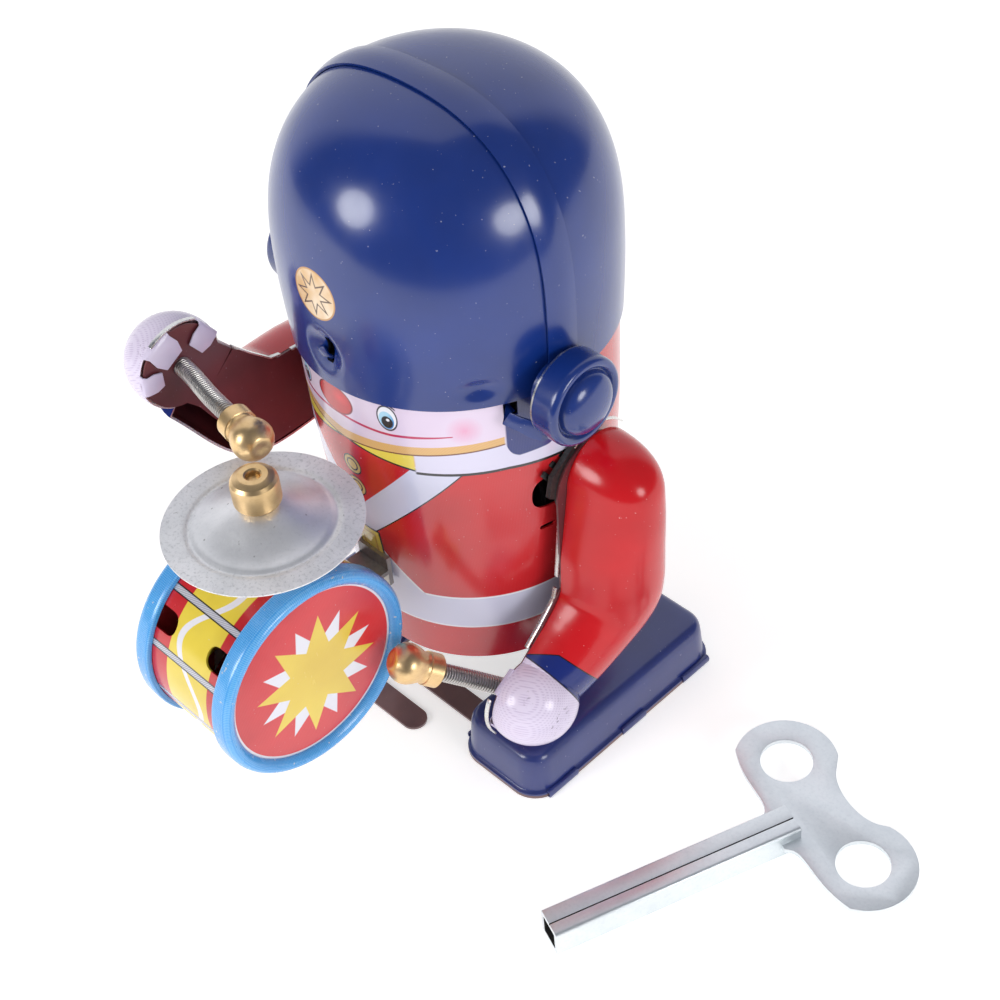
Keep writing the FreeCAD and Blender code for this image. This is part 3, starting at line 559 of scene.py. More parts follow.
def helmet_radius(z):
    if z <= HELMET_WIDE_Z:
        share = math.sin((z - HELMET_EDGE_Z) / (HELMET_WIDE_Z - HELMET_EDGE_Z) * math.pi / 2)
        return HELMET_EDGE_R + (HELMET_WIDE_R - HELMET_EDGE_R) * share
    height = min(1.0, (z - HELMET_WIDE_Z) / (HELMET_TOP_Z - HELMET_WIDE_Z))
    return HELMET_WIDE_R * max(0.0, 1.0 - height ** HELMET_POWER) ** (1.0 / HELMET_POWER)


def body_radius(z):
    """The barrel's radius at a height, straight between the levels."""
    if z <= BODY_LEVELS[0][0]:
        return BODY_LEVELS[0][1]
    for (low_z, low_r), (high_z, high_r) in zip(BODY_LEVELS, BODY_LEVELS[1:]):
        if z <= high_z:
            return low_r + (high_r - low_r) * (z - low_z) / (high_z - low_z)
    return BODY_LEVELS[-1][1]


# ------------------------------------------------------------------ printed surfaces

def band(value, low, high):
    """1 where a value lies between two numbers."""
    half = (high - low) / 2
    return inside(abs(value - (low + half)) - half)


def oval(across, up, centre, half):
    """Signed distance-like value, in mm, to an upright ellipse."""
    a = (across - centre[0]) / half[0]
    b = (up - centre[1]) / half[1]
    return (length(a, b) - 1.0) * min(half)


def star(across, up, points, tip, waist, turn):
    """Distance-like value to a star with straight edges; turn is in degrees."""
    sector = 2 * math.pi / points
    angle = up.op("ARCTAN2", across) - math.radians(turn)
    folded = abs(angle.op("WRAP", sector / 2, -sector / 2))
    radius = length(across, up)
    x = radius * folded.op("COSINE")
    y = radius * folded.op("SINE")
    corner = (waist * math.cos(sector / 2), waist * math.sin(sector / 2))
    edge = (corner[0] - tip, corner[1])
    size = math.hypot(*edge)
    normal = (edge[1] / size, -edge[0] / size)
    return (x - tip) * normal[0] + y * normal[1]


def dots(first, second, pitch):
    """A halftone screen: 0 to 1 over a square grid turned by 45 degrees."""
    turn = 2 * math.pi / pitch
    a = ((first + second) * turn).op("SINE")
    b = ((first - second) * turn).op("SINE")
    return (a * b) * 0.5 + 0.5


def body_print():
    """The tin litho of face, collar, straps, belt and tunic."""
    paint = Paint("body_print")
    x, y, z = paint.where()
    angle = x.op("ARCTAN2", -y) * (180 / math.pi)
    side = abs(angle)
    u = side * PRINT_SCALE
    signed = angle * PRINT_SCALE
    tone = paint.noise(0.07, 3.0)
    paint.look = paint.mix(RED, srgb(178, 10, 20), fade(tone, 0.4, 0.75))
    # belt and skirt
    paint.over(STRAP, band(z, 28.5, 36.2))
    paint.over(WHITE, most(band(z, 35.9, 36.3), band(z, 28.4, 28.75)))
    # straps, the same on the back
    back = inside(90.0 - side, 0.5)
    across = u + back * (180 * PRINT_SCALE - u * 2)
    lower = inside(abs(z + across * 1.09 - 43.1) - 4.1) * inside(z - 45.4) * inside(35.9 - z)
    paint.over(STRAP, lower)
    lower_edge = inside(abs(z + across * 1.09 - 46.9) - 0.28) * inside(z - 45.4) * inside(36.2 - z)
    paint.over(WHITE, lower_edge)
    low_line = z - across * 0.98 - 45.9
    high_line = z - across * 1.09 - 52.9
    upper = inside(-low_line) * inside(high_line) * inside(z - 66.5)
    paint.over(BLACK, inside(abs(low_line) - 0.32) * inside(z - 66.5))
    paint.over(STRAP, upper)
    # neck band
    face_side = fade(96.0 - side, 0.0, 0.6)
    droop = fade(side, 62.0, 88.0)
    band_low = 65.2 - droop * 1.2
    neck = band(z, 60.0, 72.0) * inside(band_low - z) * face_side
    neck_line = inside(abs(z - band_low) - 0.26) * face_side
    collar_low = 68.0 - side * 0.075
    in_collar = fade(29.5 - side, 0.0, 0.8)
    paint.over(srgb(212, 208, 230), neck * (1.0 - in_collar))
    paint.over(BLACK, neck_line * (1.0 - in_collar))
    paint.over(BLACK, inside(abs(z - collar_low) - 0.36) * in_collar)
    paint.over(YELLOW, inside(collar_low - z) * in_collar)
    # face
    chin_low = 67.7 + side * 0.04
    chin_high = 69.5 + side * 0.035
    face = inside(chin_high - 0.5 - z) * face_side
    shade = fade(tone, 0.3, 0.7)
    skin = paint.mix(FACE, srgb(216, 198, 222), shade)
    paint.over(skin, face)
    blush = fade(2.9 - length(u - 20.8, z - 74.0), 0.0, 2.9)
    grain = dots(u, z, 0.42)
    paint.over(srgb(226, 120, 164), face * blush * (grain * 0.35 + 0.4))
    chin = band(z, 60.0, 72.0) * inside(chin_low - z) * inside(z - chin_high) * fade(61.5 - side, 0.0, 0.6)
    hatch = ((u + z * 1.6) * (2 * math.pi / 0.55)).op("SINE") * 0.5 + 0.5
    gold = paint.mix(srgb(222, 178, 112), srgb(196, 148, 96), hatch * 0.6)
    paint.over(gold, chin)
    paint.over(srgb(110, 64, 48), inside(abs(z - chin_low) - 0.13) * fade(61.5 - side, 0.0, 0.6))
    # smile
    smile_high = 72.55 - fade(side, 0.0, 18.0) * 0.35 + fade(side, 22.0, 44.0) * 0.75
    smile_half = 0.24 - fade(side, 30.0, 44.0) * 0.14
    smile = inside(abs(z - smile_high) - smile_half, 0.05) * fade(44.0 - side, 0.0, 0.5)
    paint.over(srgb(184, 36, 84), smile)
    # nose
    nose = oval(signed, z, (-0.75, 75.2), (3.7, 2.7))
    gleam = fade(2.0 - length(signed - 0.6, (z - 75.9) * 1.3), 0.0, 2.2)
    paint.over(srgb(120, 10, 30), inside(nose - 0.12))
    paint.over(paint.mix(srgb(190, 2, 16), srgb(226, 34, 40), gleam), inside(nose + 0.1))
    # eyes
    eye = oval(u, z, (9.26, 75.5), (1.72, 2.5))
    paint.over(srgb(52, 48, 62), inside(eye, 0.04))
    paint.over(srgb(236, 236, 244), inside(eye + 0.22, 0.04))
    iris = oval(u, z, (9.1, 75.0), (1.25, 1.75))
    blue = paint.mix(srgb(60, 140, 206), srgb(170, 214, 238), fade(z - 74.4 - (u - 9.1), -0.6, 1.6))
    paint.over(blue, inside(iris, 0.04) * inside(eye + 0.25, 0.04))
    pupil = oval(u, z, (9.2, 74.7), (0.95, 1.15))
    paint.over(srgb(30, 28, 34), inside(pupil, 0.04))
    glint = oval(u, z, (9.35, 75.15), (0.28, 0.28))
    paint.over(WHITE, inside(glint, 0.04))
    brow_high = 78.55 - (u - 8.2) * (u - 8.2) * 0.17
    brow = inside(abs(z - brow_high) - 0.16, 0.04) * fade(u, 6.8, 7.0) * fade(10.9 - u, 0.0, 0.2)
    paint.over(BLACK, brow)
    # chin strap patch below the ear, and the tunic behind it
    sideways = abs(side - 71.0) * (1 / 9.3)
    square = sideways * sideways
    corner = square * square * square * square * 1.6
    patch = inside(abs(side - 71.0) - 9.3, 0.3) * inside(corner + 68.2 - z - fade(side, 61.0, 66.0), 0.1)
    paint.over(NAVY, patch)
    # buckle
    frame_out = most(abs(u) - 3.1, abs(z - 44.8) - 3.4)
    paint.over(BLACK, inside(frame_out))
    paint.over(YELLOW, inside(frame_out + 0.4))
    paint.over(srgb(196, 160, 60), inside(abs(frame_out + 1.5) - 0.2))
    # buttons
    for low in (62.2, 57.6):
        ring = length(signed - 0.4, z - low)
        paint.over(BLACK, inside(ring - 2.0))
        paint.over(srgb(206, 176, 106), inside(ring - 1.75))
        paint.over(srgb(60, 46, 34), inside(ring - 1.25))
        paint.over(srgb(214, 184, 112), inside(ring - 0.95))
    screen = dots(signed, z, 0.5)
    paint.over((0.9, 0.9, 0.95), screen * 0.03)
    specks(paint)
    return lacquer(paint, 0.10, 0.35)


def helmet_print():
    """Deep blue lacquer with the plain star badge on the forehead."""
    paint = Paint("helmet_print")
    x, y, z = paint.where()
    tone = paint.noise(0.06, 3.0)
    paint.look = paint.mix(srgb(12, 42, 112), srgb(18, 50, 128), fade(tone, 0.35, 0.75))
    specks(paint)
    front = inside(y)
    disc = length(x - 0.2, z - 95.4)
    sheen = paint.noise(0.25, 2.0)
    gold = paint.mix(srgb(214, 172, 116), srgb(236, 216, 190), fade(sheen, 0.4, 0.7))
    paint.over(srgb(190, 140, 84), inside(disc - 4.2) * front)
    paint.over(gold, inside(disc - 3.95) * front)
    outline = star(x - 0.2, z - 95.4, 8, 3.3, 1.5, 90.0)
    paint.over(srgb(86, 62, 48), inside(abs(outline) - 0.12, 0.04) * front)
    return lacquer(paint, 0.12, 0.35)


def drum_print():
    """Drum shell: red edges, a yellow band with a white wave, and pairs of printed cords."""
    paint = Paint("drum_print")
    x, y, z = paint.where()
    across = x - DRUM.x
    angle = (z - DRUM.z).op("ARCTAN2", y - DRUM.y)
    tone = paint.noise(0.08, 3.0)
    red = paint.mix(srgb(200, 24, 34), srgb(182, 14, 26), fade(tone, 0.4, 0.7))
    yellow = paint.mix(srgb(232, 208, 66), srgb(212, 186, 52), fade(tone, 0.35, 0.7))
    paint.look = paint.mix(red, yellow, band(across, -4.2, 5.6))
    wave = (angle * 5.0 - math.radians(143.5 * 5)).op("COSINE") * -3.0 + 0.6
    paint.over(srgb(224, 222, 230), inside(abs(across - wave) - 0.62))
    gap = 2 * math.pi / 11
    folded = (angle - math.radians(123.8)).op("WRAP", gap / 2, -gap / 2) * DRUM_R
    hatch = ((across + folded) * (2 * math.pi / 0.42)).op("SINE") * 0.5 + 0.5
    cord = paint.mix(srgb(206, 206, 216), srgb(120, 120, 132), hatch * 0.75)
    paint.over(BLACK, inside(abs(folded) - 0.68))
    paint.over(cord, inside(abs(folded) - 0.46))
    specks(paint)
    return lacquer(paint, 0.13, 0.4)


def drum_head_print():
    """Drum head: two eight-point stars on red, inside a thin white ring."""
    paint = Paint("drum_head_print")
    x, y, z = paint.where()
    across = y - DRUM.y - 0.45
    up = z - DRUM.z + 0.8
    tone = paint.noise(0.08, 3.0)
    red = paint.mix(srgb(212, 36, 44), srgb(196, 22, 34), fade(tone, 0.4, 0.7))
    ring = length(y - DRUM.y, z - DRUM.z)
    paint.look = paint.mix(red, srgb(226, 224, 232), inside(15.1 - ring))
    white = star(across, up, 8, 11.3, 5.9, 33.7 + 22.5)
    paint.over(srgb(226, 226, 236), inside(white))
    yellow = star(across, up, 8, 11.6, 5.8, 33.7)
    paint.over(paint.mix(srgb(234, 206, 72), srgb(220, 188, 60), fade(tone, 0.3, 0.7)), inside(yellow))
    screen = dots(across, up, 0.5)
    paint.over((0.9, 0.9, 0.95), screen * 0.04)
    specks(paint)
    return lacquer(paint, 0.13, 0.5)


def rim_print():
    """Sky blue with a fine halftone screen."""
    paint = Paint("rim_print")
    x, y, z = paint.where()
    angle = (z - DRUM.z).op("ARCTAN2", y - DRUM.y) * 17.0
    screen = dots(angle, length(y - DRUM.y, z - DRUM.z) + x, 0.62)
    tone = paint.noise(0.09, 3.0)
    base = paint.mix(srgb(58, 154, 226), srgb(44, 136, 212), fade(tone, 0.35, 0.7))
    paint.look = paint.mix(base, srgb(134, 198, 238), fade(screen, 0.45, 0.75) * 0.55)
    chip = paint.noise(1.1, 1.0)
    paint.over((0.62, 0.62, 0.60), fade(chip, 0.72, 0.75) * 0.8)
    return lacquer(paint, 0.15, 0.5)


def arm_print():
    """Red sleeve, navy cuff and pale hand with a fine worn screen of lines."""
    paint = Paint("arm_print")
    x, y, z = paint.where("local")
    t = y * FOREARM[0] + z * FOREARM[1]
    s = y * -FOREARM[1] + z * FOREARM[0]
    tone = paint.noise(0.07, 3.0)
    paint.look = paint.mix(RED, srgb(178, 8, 18), fade(tone, 0.4, 0.75))
    low = inside(z + 15.0, 0.2)
    pinch = fade(5.0 - x, 0.0, 5.0) * fade(17.0 - s, 0.0, 5.0) * 3.0
    cuff_at = s * 0.07 + 26.5 + pinch
    hand_at = s * 0.25 + 27.6
    paint.over(BLACK, inside(cuff_at - 0.15 - t) * low)
    paint.over(NAVY, inside(cuff_at + 0.05 - t) * low)
    paint.over(srgb(40, 36, 60), inside(hand_at - 0.15 - t) * low)
    lines = ((t * 0.9 + s * 0.25 + x * 0.3) * (2 * math.pi / 0.40)).op("SINE") * 0.5 + 0.5
    rows = ((s - x * 0.4) * (2 * math.pi / 0.36)).op("SINE") * 0.5 + 0.5
    hand = paint.mix(srgb(218, 208, 230), srgb(184, 168, 200), fade(lines * rows, 0.25, 0.8) * 0.55)
    wear = paint.noise(1.6, 2.0, 0.6, (1.0, 1.0, 1.0))
    patch = paint.noise(0.14, 2.0)
    hand = paint.mix(hand, srgb(104, 88, 112), fade(wear, 0.60, 0.68) * fade(patch, 0.50, 0.66) * 0.8)
    paint.over(hand, inside(hand_at + 0.1 - t) * low)
    specks(paint)
    return lacquer(paint, 0.10, 0.4, 0.25)


BODY_PRINT = body_print()
HELMET_PRINT = helmet_print()
DRUM_PRINT = drum_print()
HEAD_PRINT = drum_head_print()
RIM_PRINT = rim_print()
ARM_PRINT = arm_print()
HAND_TIN = plain_lacquer("hand_lacquer", LILAC, srgb(188, 174, 204), 0.22, 0.8)


# ------------------------------------------------------------------ helmet, ears and body

def round_mesh(profile, steps):
    """A bmesh spun round the body's axis from (radius, z) rows in mm."""
    bm = bmesh.new()
    rings = []
    for radius, z in profile:
        if radius < 1e-6:
            rings.append([bm.verts.new((0, 0, z * MM))])
            continue
        ring = []
        for step in range(steps):
            turn = 2 * math.pi * step / steps
            ring.append(bm.verts.new((radius * math.cos(turn) * MM, radius * math.sin(turn) * MM, z * MM)))
        rings.append(ring)
    for low, high in zip(rings, rings[1:]):
        for step in range(steps):
            after = (step + 1) % steps
            if len(high) == 1:
                bm.faces.new((low[step], low[after], high[0]))
            elif len(low) == 1:
                bm.faces.new((low[0], high[after], high[step]))
            else:
                bm.faces.new((low[step], low[after], high[after], high[step]))
    bm.normal_update()
    return bm


def split_at(bm, y, drop=None):
    """Cut edges in along a plane across Y; drop 'front' or 'back' of it."""
    geometry = bm.verts[:] + bm.edges[:] + bm.faces[:]
    bmesh.ops.bisect_plane(
        bm, geom=geometry, dist=1e-7, plane_co=(0, y * MM, 0), plane_no=(0, 1, 0),
        clear_inner=drop == "front", clear_outer=drop == "back",
    )


def lift_points(bm, amount):
    """Move each vertex along its own normal by amount(point in mm), in mm."""
    bm.normal_update()
    moves = [(vert, vert.normal.copy() * amount(vert.co * 1000)) for vert in bm.verts]
    for vert, move in moves:
        vert.co += move * MM


def bm_object(name, bm, materials):
    mesh = bpy.data.meshes.new(name)
    bm.to_mesh(mesh)
    bm.free()
    return show(name, mesh, materials)


def smooth_step(value):
    value = max(0.0, min(1.0, value))
    return value * value * (3 - 2 * value)


def dimple(point, angle, z, half_wide, half_high, depth):
    """Inward displacement of a pressed oval at an angle round the axis."""
    turn = math.degrees(math.atan2(point.x, -point.y))
    across = math.radians(turn - angle) * HELMET_WIDE_R
    away = math.hypot(across / half_wide, (point.z - z) / half_high)
    return -depth * (1 - smooth_step(away))


def helmet_profile():
    rows = []
    skirt = 34
    for step in range(skirt + 1):
        z = HELMET_EDGE_Z + (HELMET_WIDE_Z - HELMET_EDGE_Z) * step / skirt
        rows.append((helmet_radius(z), z))
    dome = 56
    for step in range(1, dome):
        turn = math.pi / 2 * step / dome
        z = HELMET_WIDE_Z + (HELMET_TOP_Z - HELMET_WIDE_Z) * math.sin(turn) ** (2.0 / HELMET_POWER)
        rows.append((helmet_radius(z), z))
    rows.append((0.0, HELMET_TOP_Z))
    return rows


FRONT_DIMPLE = (0.0, 85.0, 4.3, 5.0, 1.7)
SIDE_DIMPLE = (54.0, 81.9, 4.2, 2.6, 0.9)
HELMET_SLOT_Z = 84.6


def build_helmet():
    steps = 288
    bm = round_mesh(helmet_profile(), steps)
    split_at(bm, SEAM_Y + 2.6, "back")
    mirrored = (-SIDE_DIMPLE[0],) + SIDE_DIMPLE[1:]
    lift_points(bm, lambda p: sum(dimple(p, *oval) for oval in (FRONT_DIMPLE, SIDE_DIMPLE, mirrored)))
    front = bm_object("helmet_front_shell", bm, [HELMET_PRINT, DARK])
    thicken(front, TIN, 1, 0)
    finish_mesh(front)
    outline = round_corners(rectangle(0.75, 2.1), 0.45)
    place = Matrix.Translation((0, 0, HELMET_SLOT_Z)) @ Matrix.Rotation(math.radians(90), 4, "X")
    subtract(front, slab("slot_tool", outline, 34.0, place, [DARK]))
    finish_mesh(front)
    place_piece(front, "figure", "blue_tin", "helmet_front")

    bm = round_mesh(helmet_profile(), steps)
    split_at(bm, SEAM_Y, "front")
    for step in range(16):
        split_at(bm, SEAM_Y + (SEAM_BACK_Y - SEAM_Y) * step / 15)
    for past in (0.08, 0.16, 0.7):
        split_at(bm, SEAM_BACK_Y + past)

    def seam(point):
        along = min(1.0, (point.y - SEAM_Y) / (SEAM_BACK_Y - SEAM_Y))
        crest = 0.25 * math.sin(math.pi * along)
        return (SEAM_LIFT + crest) * (1 - smooth_step((point.y - SEAM_BACK_Y) / 0.16))

    lift_points(bm, seam)
    back = bm_object("helmet_back_shell", bm, [HELMET_PRINT, DARK, BARE_EDGE])
    thicken(back, TIN, 1, 0)
    finish_mesh(back)
    place_piece(back, "figure", "blue_tin", "helmet_back")
    build_helmet_tab()


def bent_strip(name, path, width, thickness, materials, twist, bevel=0.06):
    """A flat strip of tin that follows a path; twist gives its flat side's normal at each point."""
    points = []
    count = len(path)
    for index, here in enumerate(path):
        before = path[max(0, index - 1)]
        after = path[min(count - 1, index + 1)]
        tangent = (after - before).normalized()
        normal = Vector(twist[index] if isinstance(twist, list) else twist)
        normal = (normal - tangent * normal.dot(tangent)).normalized()
        across = tangent.cross(normal)
        half = (width[index] if isinstance(width, (list, tuple)) else width) / 2
        for a, b in ((-half, 0), (half, 0), (half, thickness), (-half, thickness)):
            points.append(here + across * a + normal * b)
    faces = ring_faces(count, 4)
    faces.append((0, 3, 2, 1))
    last = (count - 1) * 4
    faces.append((last, last + 1, last + 2, last + 3))
    return soften(make(name, points, faces, materials), bevel)


def on_wall(radius, angle, z):
    """A place at a radius and a height, its angle counted from the front."""
    turn = math.radians(angle)
    return Vector((radius * math.sin(turn), -radius * math.cos(turn), z))


def build_helmet_tab():
    """The bent tin tab that holds the helmet on, seen in the front pressed oval."""
    low_z = HELMET_SLOT_Z - 2.0
    path = []
    for angle, z, depth in ((1.2, 0.0, 2.6), (1.4, 0.0, 1.5), (2.4, 0.6, 1.0), (4.2, 1.8, 0.95)):
        path.append(on_wall(helmet_radius(low_z + z) - depth, -angle, low_z + z))
    tab = bent_strip("helmet_tabs", path, 2.3, 0.35, [BLUE_TIN, BARE_EDGE], (0, -1, 0), 0.05)
    finish_mesh(tab)
    place_piece(tab, "figure", "blue_tin")


STRAP_SLOT_ANGLE = 64.0
STRAP_SLOT_Z = 76.6
EAR_WALL_X = 27.3
EAR_DOME_LIFT = 4.5
EAR_DOME_R = 5.05


def build_ear(name, side):
    """Pressed ear disc: wall, rolled rim, groove and dome, with the chin strap's end."""
    low, high = corners(name)
    outer_x = high.x if side > 0 else low.x
    centre = Vector((EAR_WALL_X * side, -4.8, 79.0))
    profile = [(0.0, -2.0), (4.6, -2.0), (4.6, 0.2), (6.0, 0.2), (6.7, 0.0), (7.05, 0.25)]
    profile += [(7.1, 0.6 + 0.4 * step) for step in range(9)]
    profile += [
        (7.06, 4.15), (6.92, 4.45), (6.7, 4.68), (6.4, 4.8), (6.1, 4.82), (5.8, 4.7), (5.58, 4.48),
        (5.45, 4.24), (5.32, 4.12), (5.2, 4.16), (5.1, 4.42),
    ]
    dome_high = abs(outer_x) + 1.7 - EAR_WALL_X - EAR_DOME_LIFT
    profile += arc((0.0, EAR_DOME_LIFT), EAR_DOME_R, dome_high, range(8, 90, 7))
    profile.append((0.0, EAR_DOME_LIFT + dome_high))
    place = along_x(*centre, side)
    cup = lathe(name + "_cup", profile, place, [BLUE_TIN, BARE_EDGE], 120)
    for face in cup.data.polygons:
        away = face.center * 1000 - centre
        if abs(away.x) < 0.45 and math.hypot(away.y, away.z) > 6.5:
            face.material_index = 1
    path = [on_wall(body_radius(STRAP_SLOT_Z) - 0.6, STRAP_SLOT_ANGLE * side, STRAP_SLOT_Z)]
    for x, y, z in (
            (23.6, -12.6, 76.5), (25.6, -11.9, 76.2), (27.4, -11.3, 75.9),
            (28.4, -10.6, 75.8), (28.6, -9.4, 75.7)):
        path.append(Vector((side * x, y, z)))
    widths = [2.2, 2.2, 2.4, 2.9, 3.4, 3.8]
    strap = bent_strip(name + "_strap", path, widths, TIN, [BLUE_TIN], (side * 0.8, -0.55, 0.1))
    ear = join(name + "_piece", [cup, strap])
    place_piece(ear, "figure", "blue_tin", name)


def rounded_bar(half_y, half_z, radius, centre_y, centre_z, x_from, x_to):
    """A bar along X with a rounded section, for cutting holes through the barrel's side."""
    outline = round_corners(rectangle(half_y, half_z), radius, 6)
    place = Matrix.Translation((x_from, centre_y, centre_z)) @ Matrix(
        ((0, 0, 1, 0), (1, 0, 0, 0), (0, 1, 0, 0), (0, 0, 0, 1)))
    return slab("bar_tool", outline, x_to - x_from, place, [DARK])


# holes in the body's side: half width, half height, corner radius, centre y, centre z
ARM_HOLE = (6.6, 3.3, 3.1, -1.9, 57.4)
TAB_SLIT = (1.3, 0.45, 0.4, -5.9, 49.85)
WINDING_HOLE = (3.4, 3.4, 3.3, 7.0, 37.0)
BODY_SIDES = {1: (14.0, 32.0), -1: (-32.0, -14.0)}
BODY_STEP_Y = 1.6
BODY_STEP_OUT = 0.42


def build_body():
    """Two half shells of the barrel, the back one stepped out over the front one."""
    low_r = body_radius(BODY_LOW_Z)
    rows = [(low_r - 1.1, BODY_LOW_Z + 0.25), (low_r - 0.4, BODY_LOW_Z + 0.02)]
    top = corners("body_front")[1].z
    count = 74
    for step in range(count + 1):
        z = BODY_LOW_Z + 0.35 + (top - BODY_LOW_Z - 0.35) * step / count
        rows.append((body_radius(z), z))
    for name, drop in (("body_front", "back"), ("body_back", "front")):
        bm = round_mesh(rows, 256)
        if name == "body_front":
            split_at(bm, 1.2, drop)
        else:
            split_at(bm, 0.0, drop)
            for past in (0.0, 0.25, 0.5):
                split_at(bm, BODY_STEP_Y + past)
            lift_points(bm, lambda p: BODY_STEP_OUT * (1 - smooth_step((p.y - BODY_STEP_Y) / 0.5)))
        shell = bm_object(name + "_shell", bm, [BODY_PRINT, INNER_TIN])
        thicken(shell, TIN * 0.9, 1, 0)
        finish_mesh(shell)
        for side in (-1, 1):
            subtract(shell, rounded_bar(*ARM_HOLE, *BODY_SIDES[side]))
            subtract(shell, rounded_bar(*TAB_SLIT, *BODY_SIDES[side]))
        if name == "body_back":
            subtract(shell, rounded_bar(*WINDING_HOLE, *BODY_SIDES[-1]))
        else:
            for side in (-1, 1):
                turn = Matrix.Rotation(math.radians(STRAP_SLOT_ANGLE * side), 4, "Z")
                upright = Matrix.Rotation(math.radians(90), 4, "X")
                place = Matrix.Translation((0, 0, STRAP_SLOT_Z)) @ turn @ upright
                subtract(shell, slab("strap_slot", rectangle(1.1, 1.3), 34.0, place, [DARK]))
        finish_mesh(shell)
        place_piece(shell, "figure", "red_tin", name)


build_helmet()
build_ear("ear_disc_left", 1)
build_ear("ear_disc_right", -1)
build_body()


# ------------------------------------------------------------------ drum and cymbal

DRUM_HALF = 11.0
DRUM_HOLE_OUT = 6.9
DRUM_HOLE_ANGLES = (141.5, 321.5)
RIM_WIDE = 3.6
HEAD_INSET = 1.25


def build_drum():
    """Shell with its four oval holes and the post's hole, two rolled rims and two printed heads."""
    rows = [(DRUM_R, -DRUM_HALF + 2 * DRUM_HALF * step / 24) for step in range(25)]
    inside_rows = [(DRUM_R - TIN, z) for _, z in reversed(rows)]
    shell = lathe("drum_tube", rows + inside_rows, along_x(*DRUM), [DRUM_PRINT, INNER_TIN], 192, True)
    for face in shell.data.polygons:
        away = face.center * 1000 - DRUM
        if math.hypot(away.y, away.z) < DRUM_R - 0.3:
            face.material_index = 1
    for side in (-1, 1):
        for angle in DRUM_HOLE_ANGLES:
            turn = math.radians(angle)
            out = Vector((0, math.cos(turn), math.sin(turn)))
            spot = DRUM + Vector((side * DRUM_HOLE_OUT, 0, 0)) + out * 12.0
            outline = round_corners(rectangle(3.1, 1.95), 1.9, 6)
            along_drum = Vector((1, 0, 0))
            axes = Matrix((along_drum, out.cross(along_drum), out)).transposed()
            place = Matrix.Translation(spot) @ axes.to_4x4()
            subtract(shell, slab("hole_tool", outline, 8.0, place, [DARK]))
    post_at = Matrix.Translation((CYMBAL.x, CYMBAL.y, DRUM.z + DRUM_R - 4))
    subtract(shell, lathe("post_tool", [(0, 0), (1.3, 0), (1.3, 8), (0, 8)], post_at, [DARK], 32))
    finish_mesh(shell)
    place_piece(shell, "figure", "drum_print", "drum_shell")

    for side, name in ((1, "left"), (-1, "right")):
        low, high = corners(f"drum_rim_{name}")
        face_x = high.x if side > 0 else low.x
        start = face_x - side * RIM_WIDE
        profile = [(16.9, 0.15), (17.0, 0.0), (17.5, 0.0), (17.75, 0.12), (17.9, 0.4)]
        profile += [(17.9, 0.8), (17.9, 1.4), (17.9, 1.9)]
        profile += arc((16.85, 2.2), 1.05, 1.4, range(8, 100, 8))
        profile += [(16.35, 3.5), (16.0, 3.25), (15.7, 2.95), (15.52, 2.75)]
        profile += [(15.45, 2.5), (15.5, 2.3), (16.9, 2.3)]
        place = along_x(start, DRUM.y, DRUM.z, side)
        rim = lathe(f"drum_rim_{name}_ring", profile, place, [RIM_PRINT], 192, True)
        place_piece(rim, "figure", "drum_rim", f"drum_rim_{name}")
        head_x = face_x - side * HEAD_INSET
        dish = [(0.0, 0.18), (5.0, 0.17), (10.0, 0.12), (14.6, 0.02), (15.6, 0.0), (16.0, 0.0)]
        under = [(radius, height - 0.35) for radius, height in reversed(dish)]
        place = along_x(head_x, DRUM.y, DRUM.z, side)
        head = lathe(f"drum_head_{name}_disc", dish + under, place, [HEAD_PRINT], 128)
        place_piece(head, "figure", "drum_print", f"drum_head_{name}")


CYMBAL_R = 15.0
CYMBAL_HOLE_R = 1.25
CYMBAL_TIN = 0.22
BELL_HIGH = 3.55
STEP_R = 10.9


def build_cymbal():
    """Pressed disc with a flat flange, a soft step and a domed bell, and its brass barrel nut."""
    base = Matrix.Translation((CYMBAL.x, CYMBAL.y, CYMBAL_LOW_Z))
    rows = []
    for step in range(61):
        radius = CYMBAL_R - (CYMBAL_R - CYMBAL_HOLE_R) * step / 60
        cone = BELL_HIGH * (1 - smooth_step((radius - 1.5) / 10.0)) ** 1.15
        groove = -0.32 * math.exp(-((radius - STEP_R) / 0.55) ** 2)
        rim = 0.10 * (CYMBAL_R - radius) / 4.0 if radius > 11 else 0.10
        rows.append((radius, CYMBAL_TIN + cone + groove + rim))
    under = [(radius, height - CYMBAL_TIN) for radius, height in reversed(rows)]
    plate = lathe("cymbal_plate", rows + under, base, [cymbal_metal()], 160, True)
    place_piece(plate, "figure", "plated_tin", "cymbal")
    low, high = corners("cymbal_nut")
    tall = high.z - low.z
    profile = [(1.35, 0.0), (2.75, 0.0), (3.35, 0.55), (3.56, 0.9), (3.6, 1.3), (3.6, tall - 1.5)]
    profile += [(3.5, tall - 1.0), (3.1, tall - 0.5), (2.5, tall - 0.12), (2.2, tall), (1.35, tall)]
    profile += [(1.1, tall - 0.2), (1.05, tall - 0.4), (1.05, tall - 1.4), (1.25, tall - 1.6)]
    place = Matrix.Translation((CYMBAL.x, CYMBAL.y, low.z))
    nut = lathe("cymbal_barrel", profile, place, [BRASS], 96, True, 14)
    place_piece(nut, "figure", "brass", "cymbal_nut")


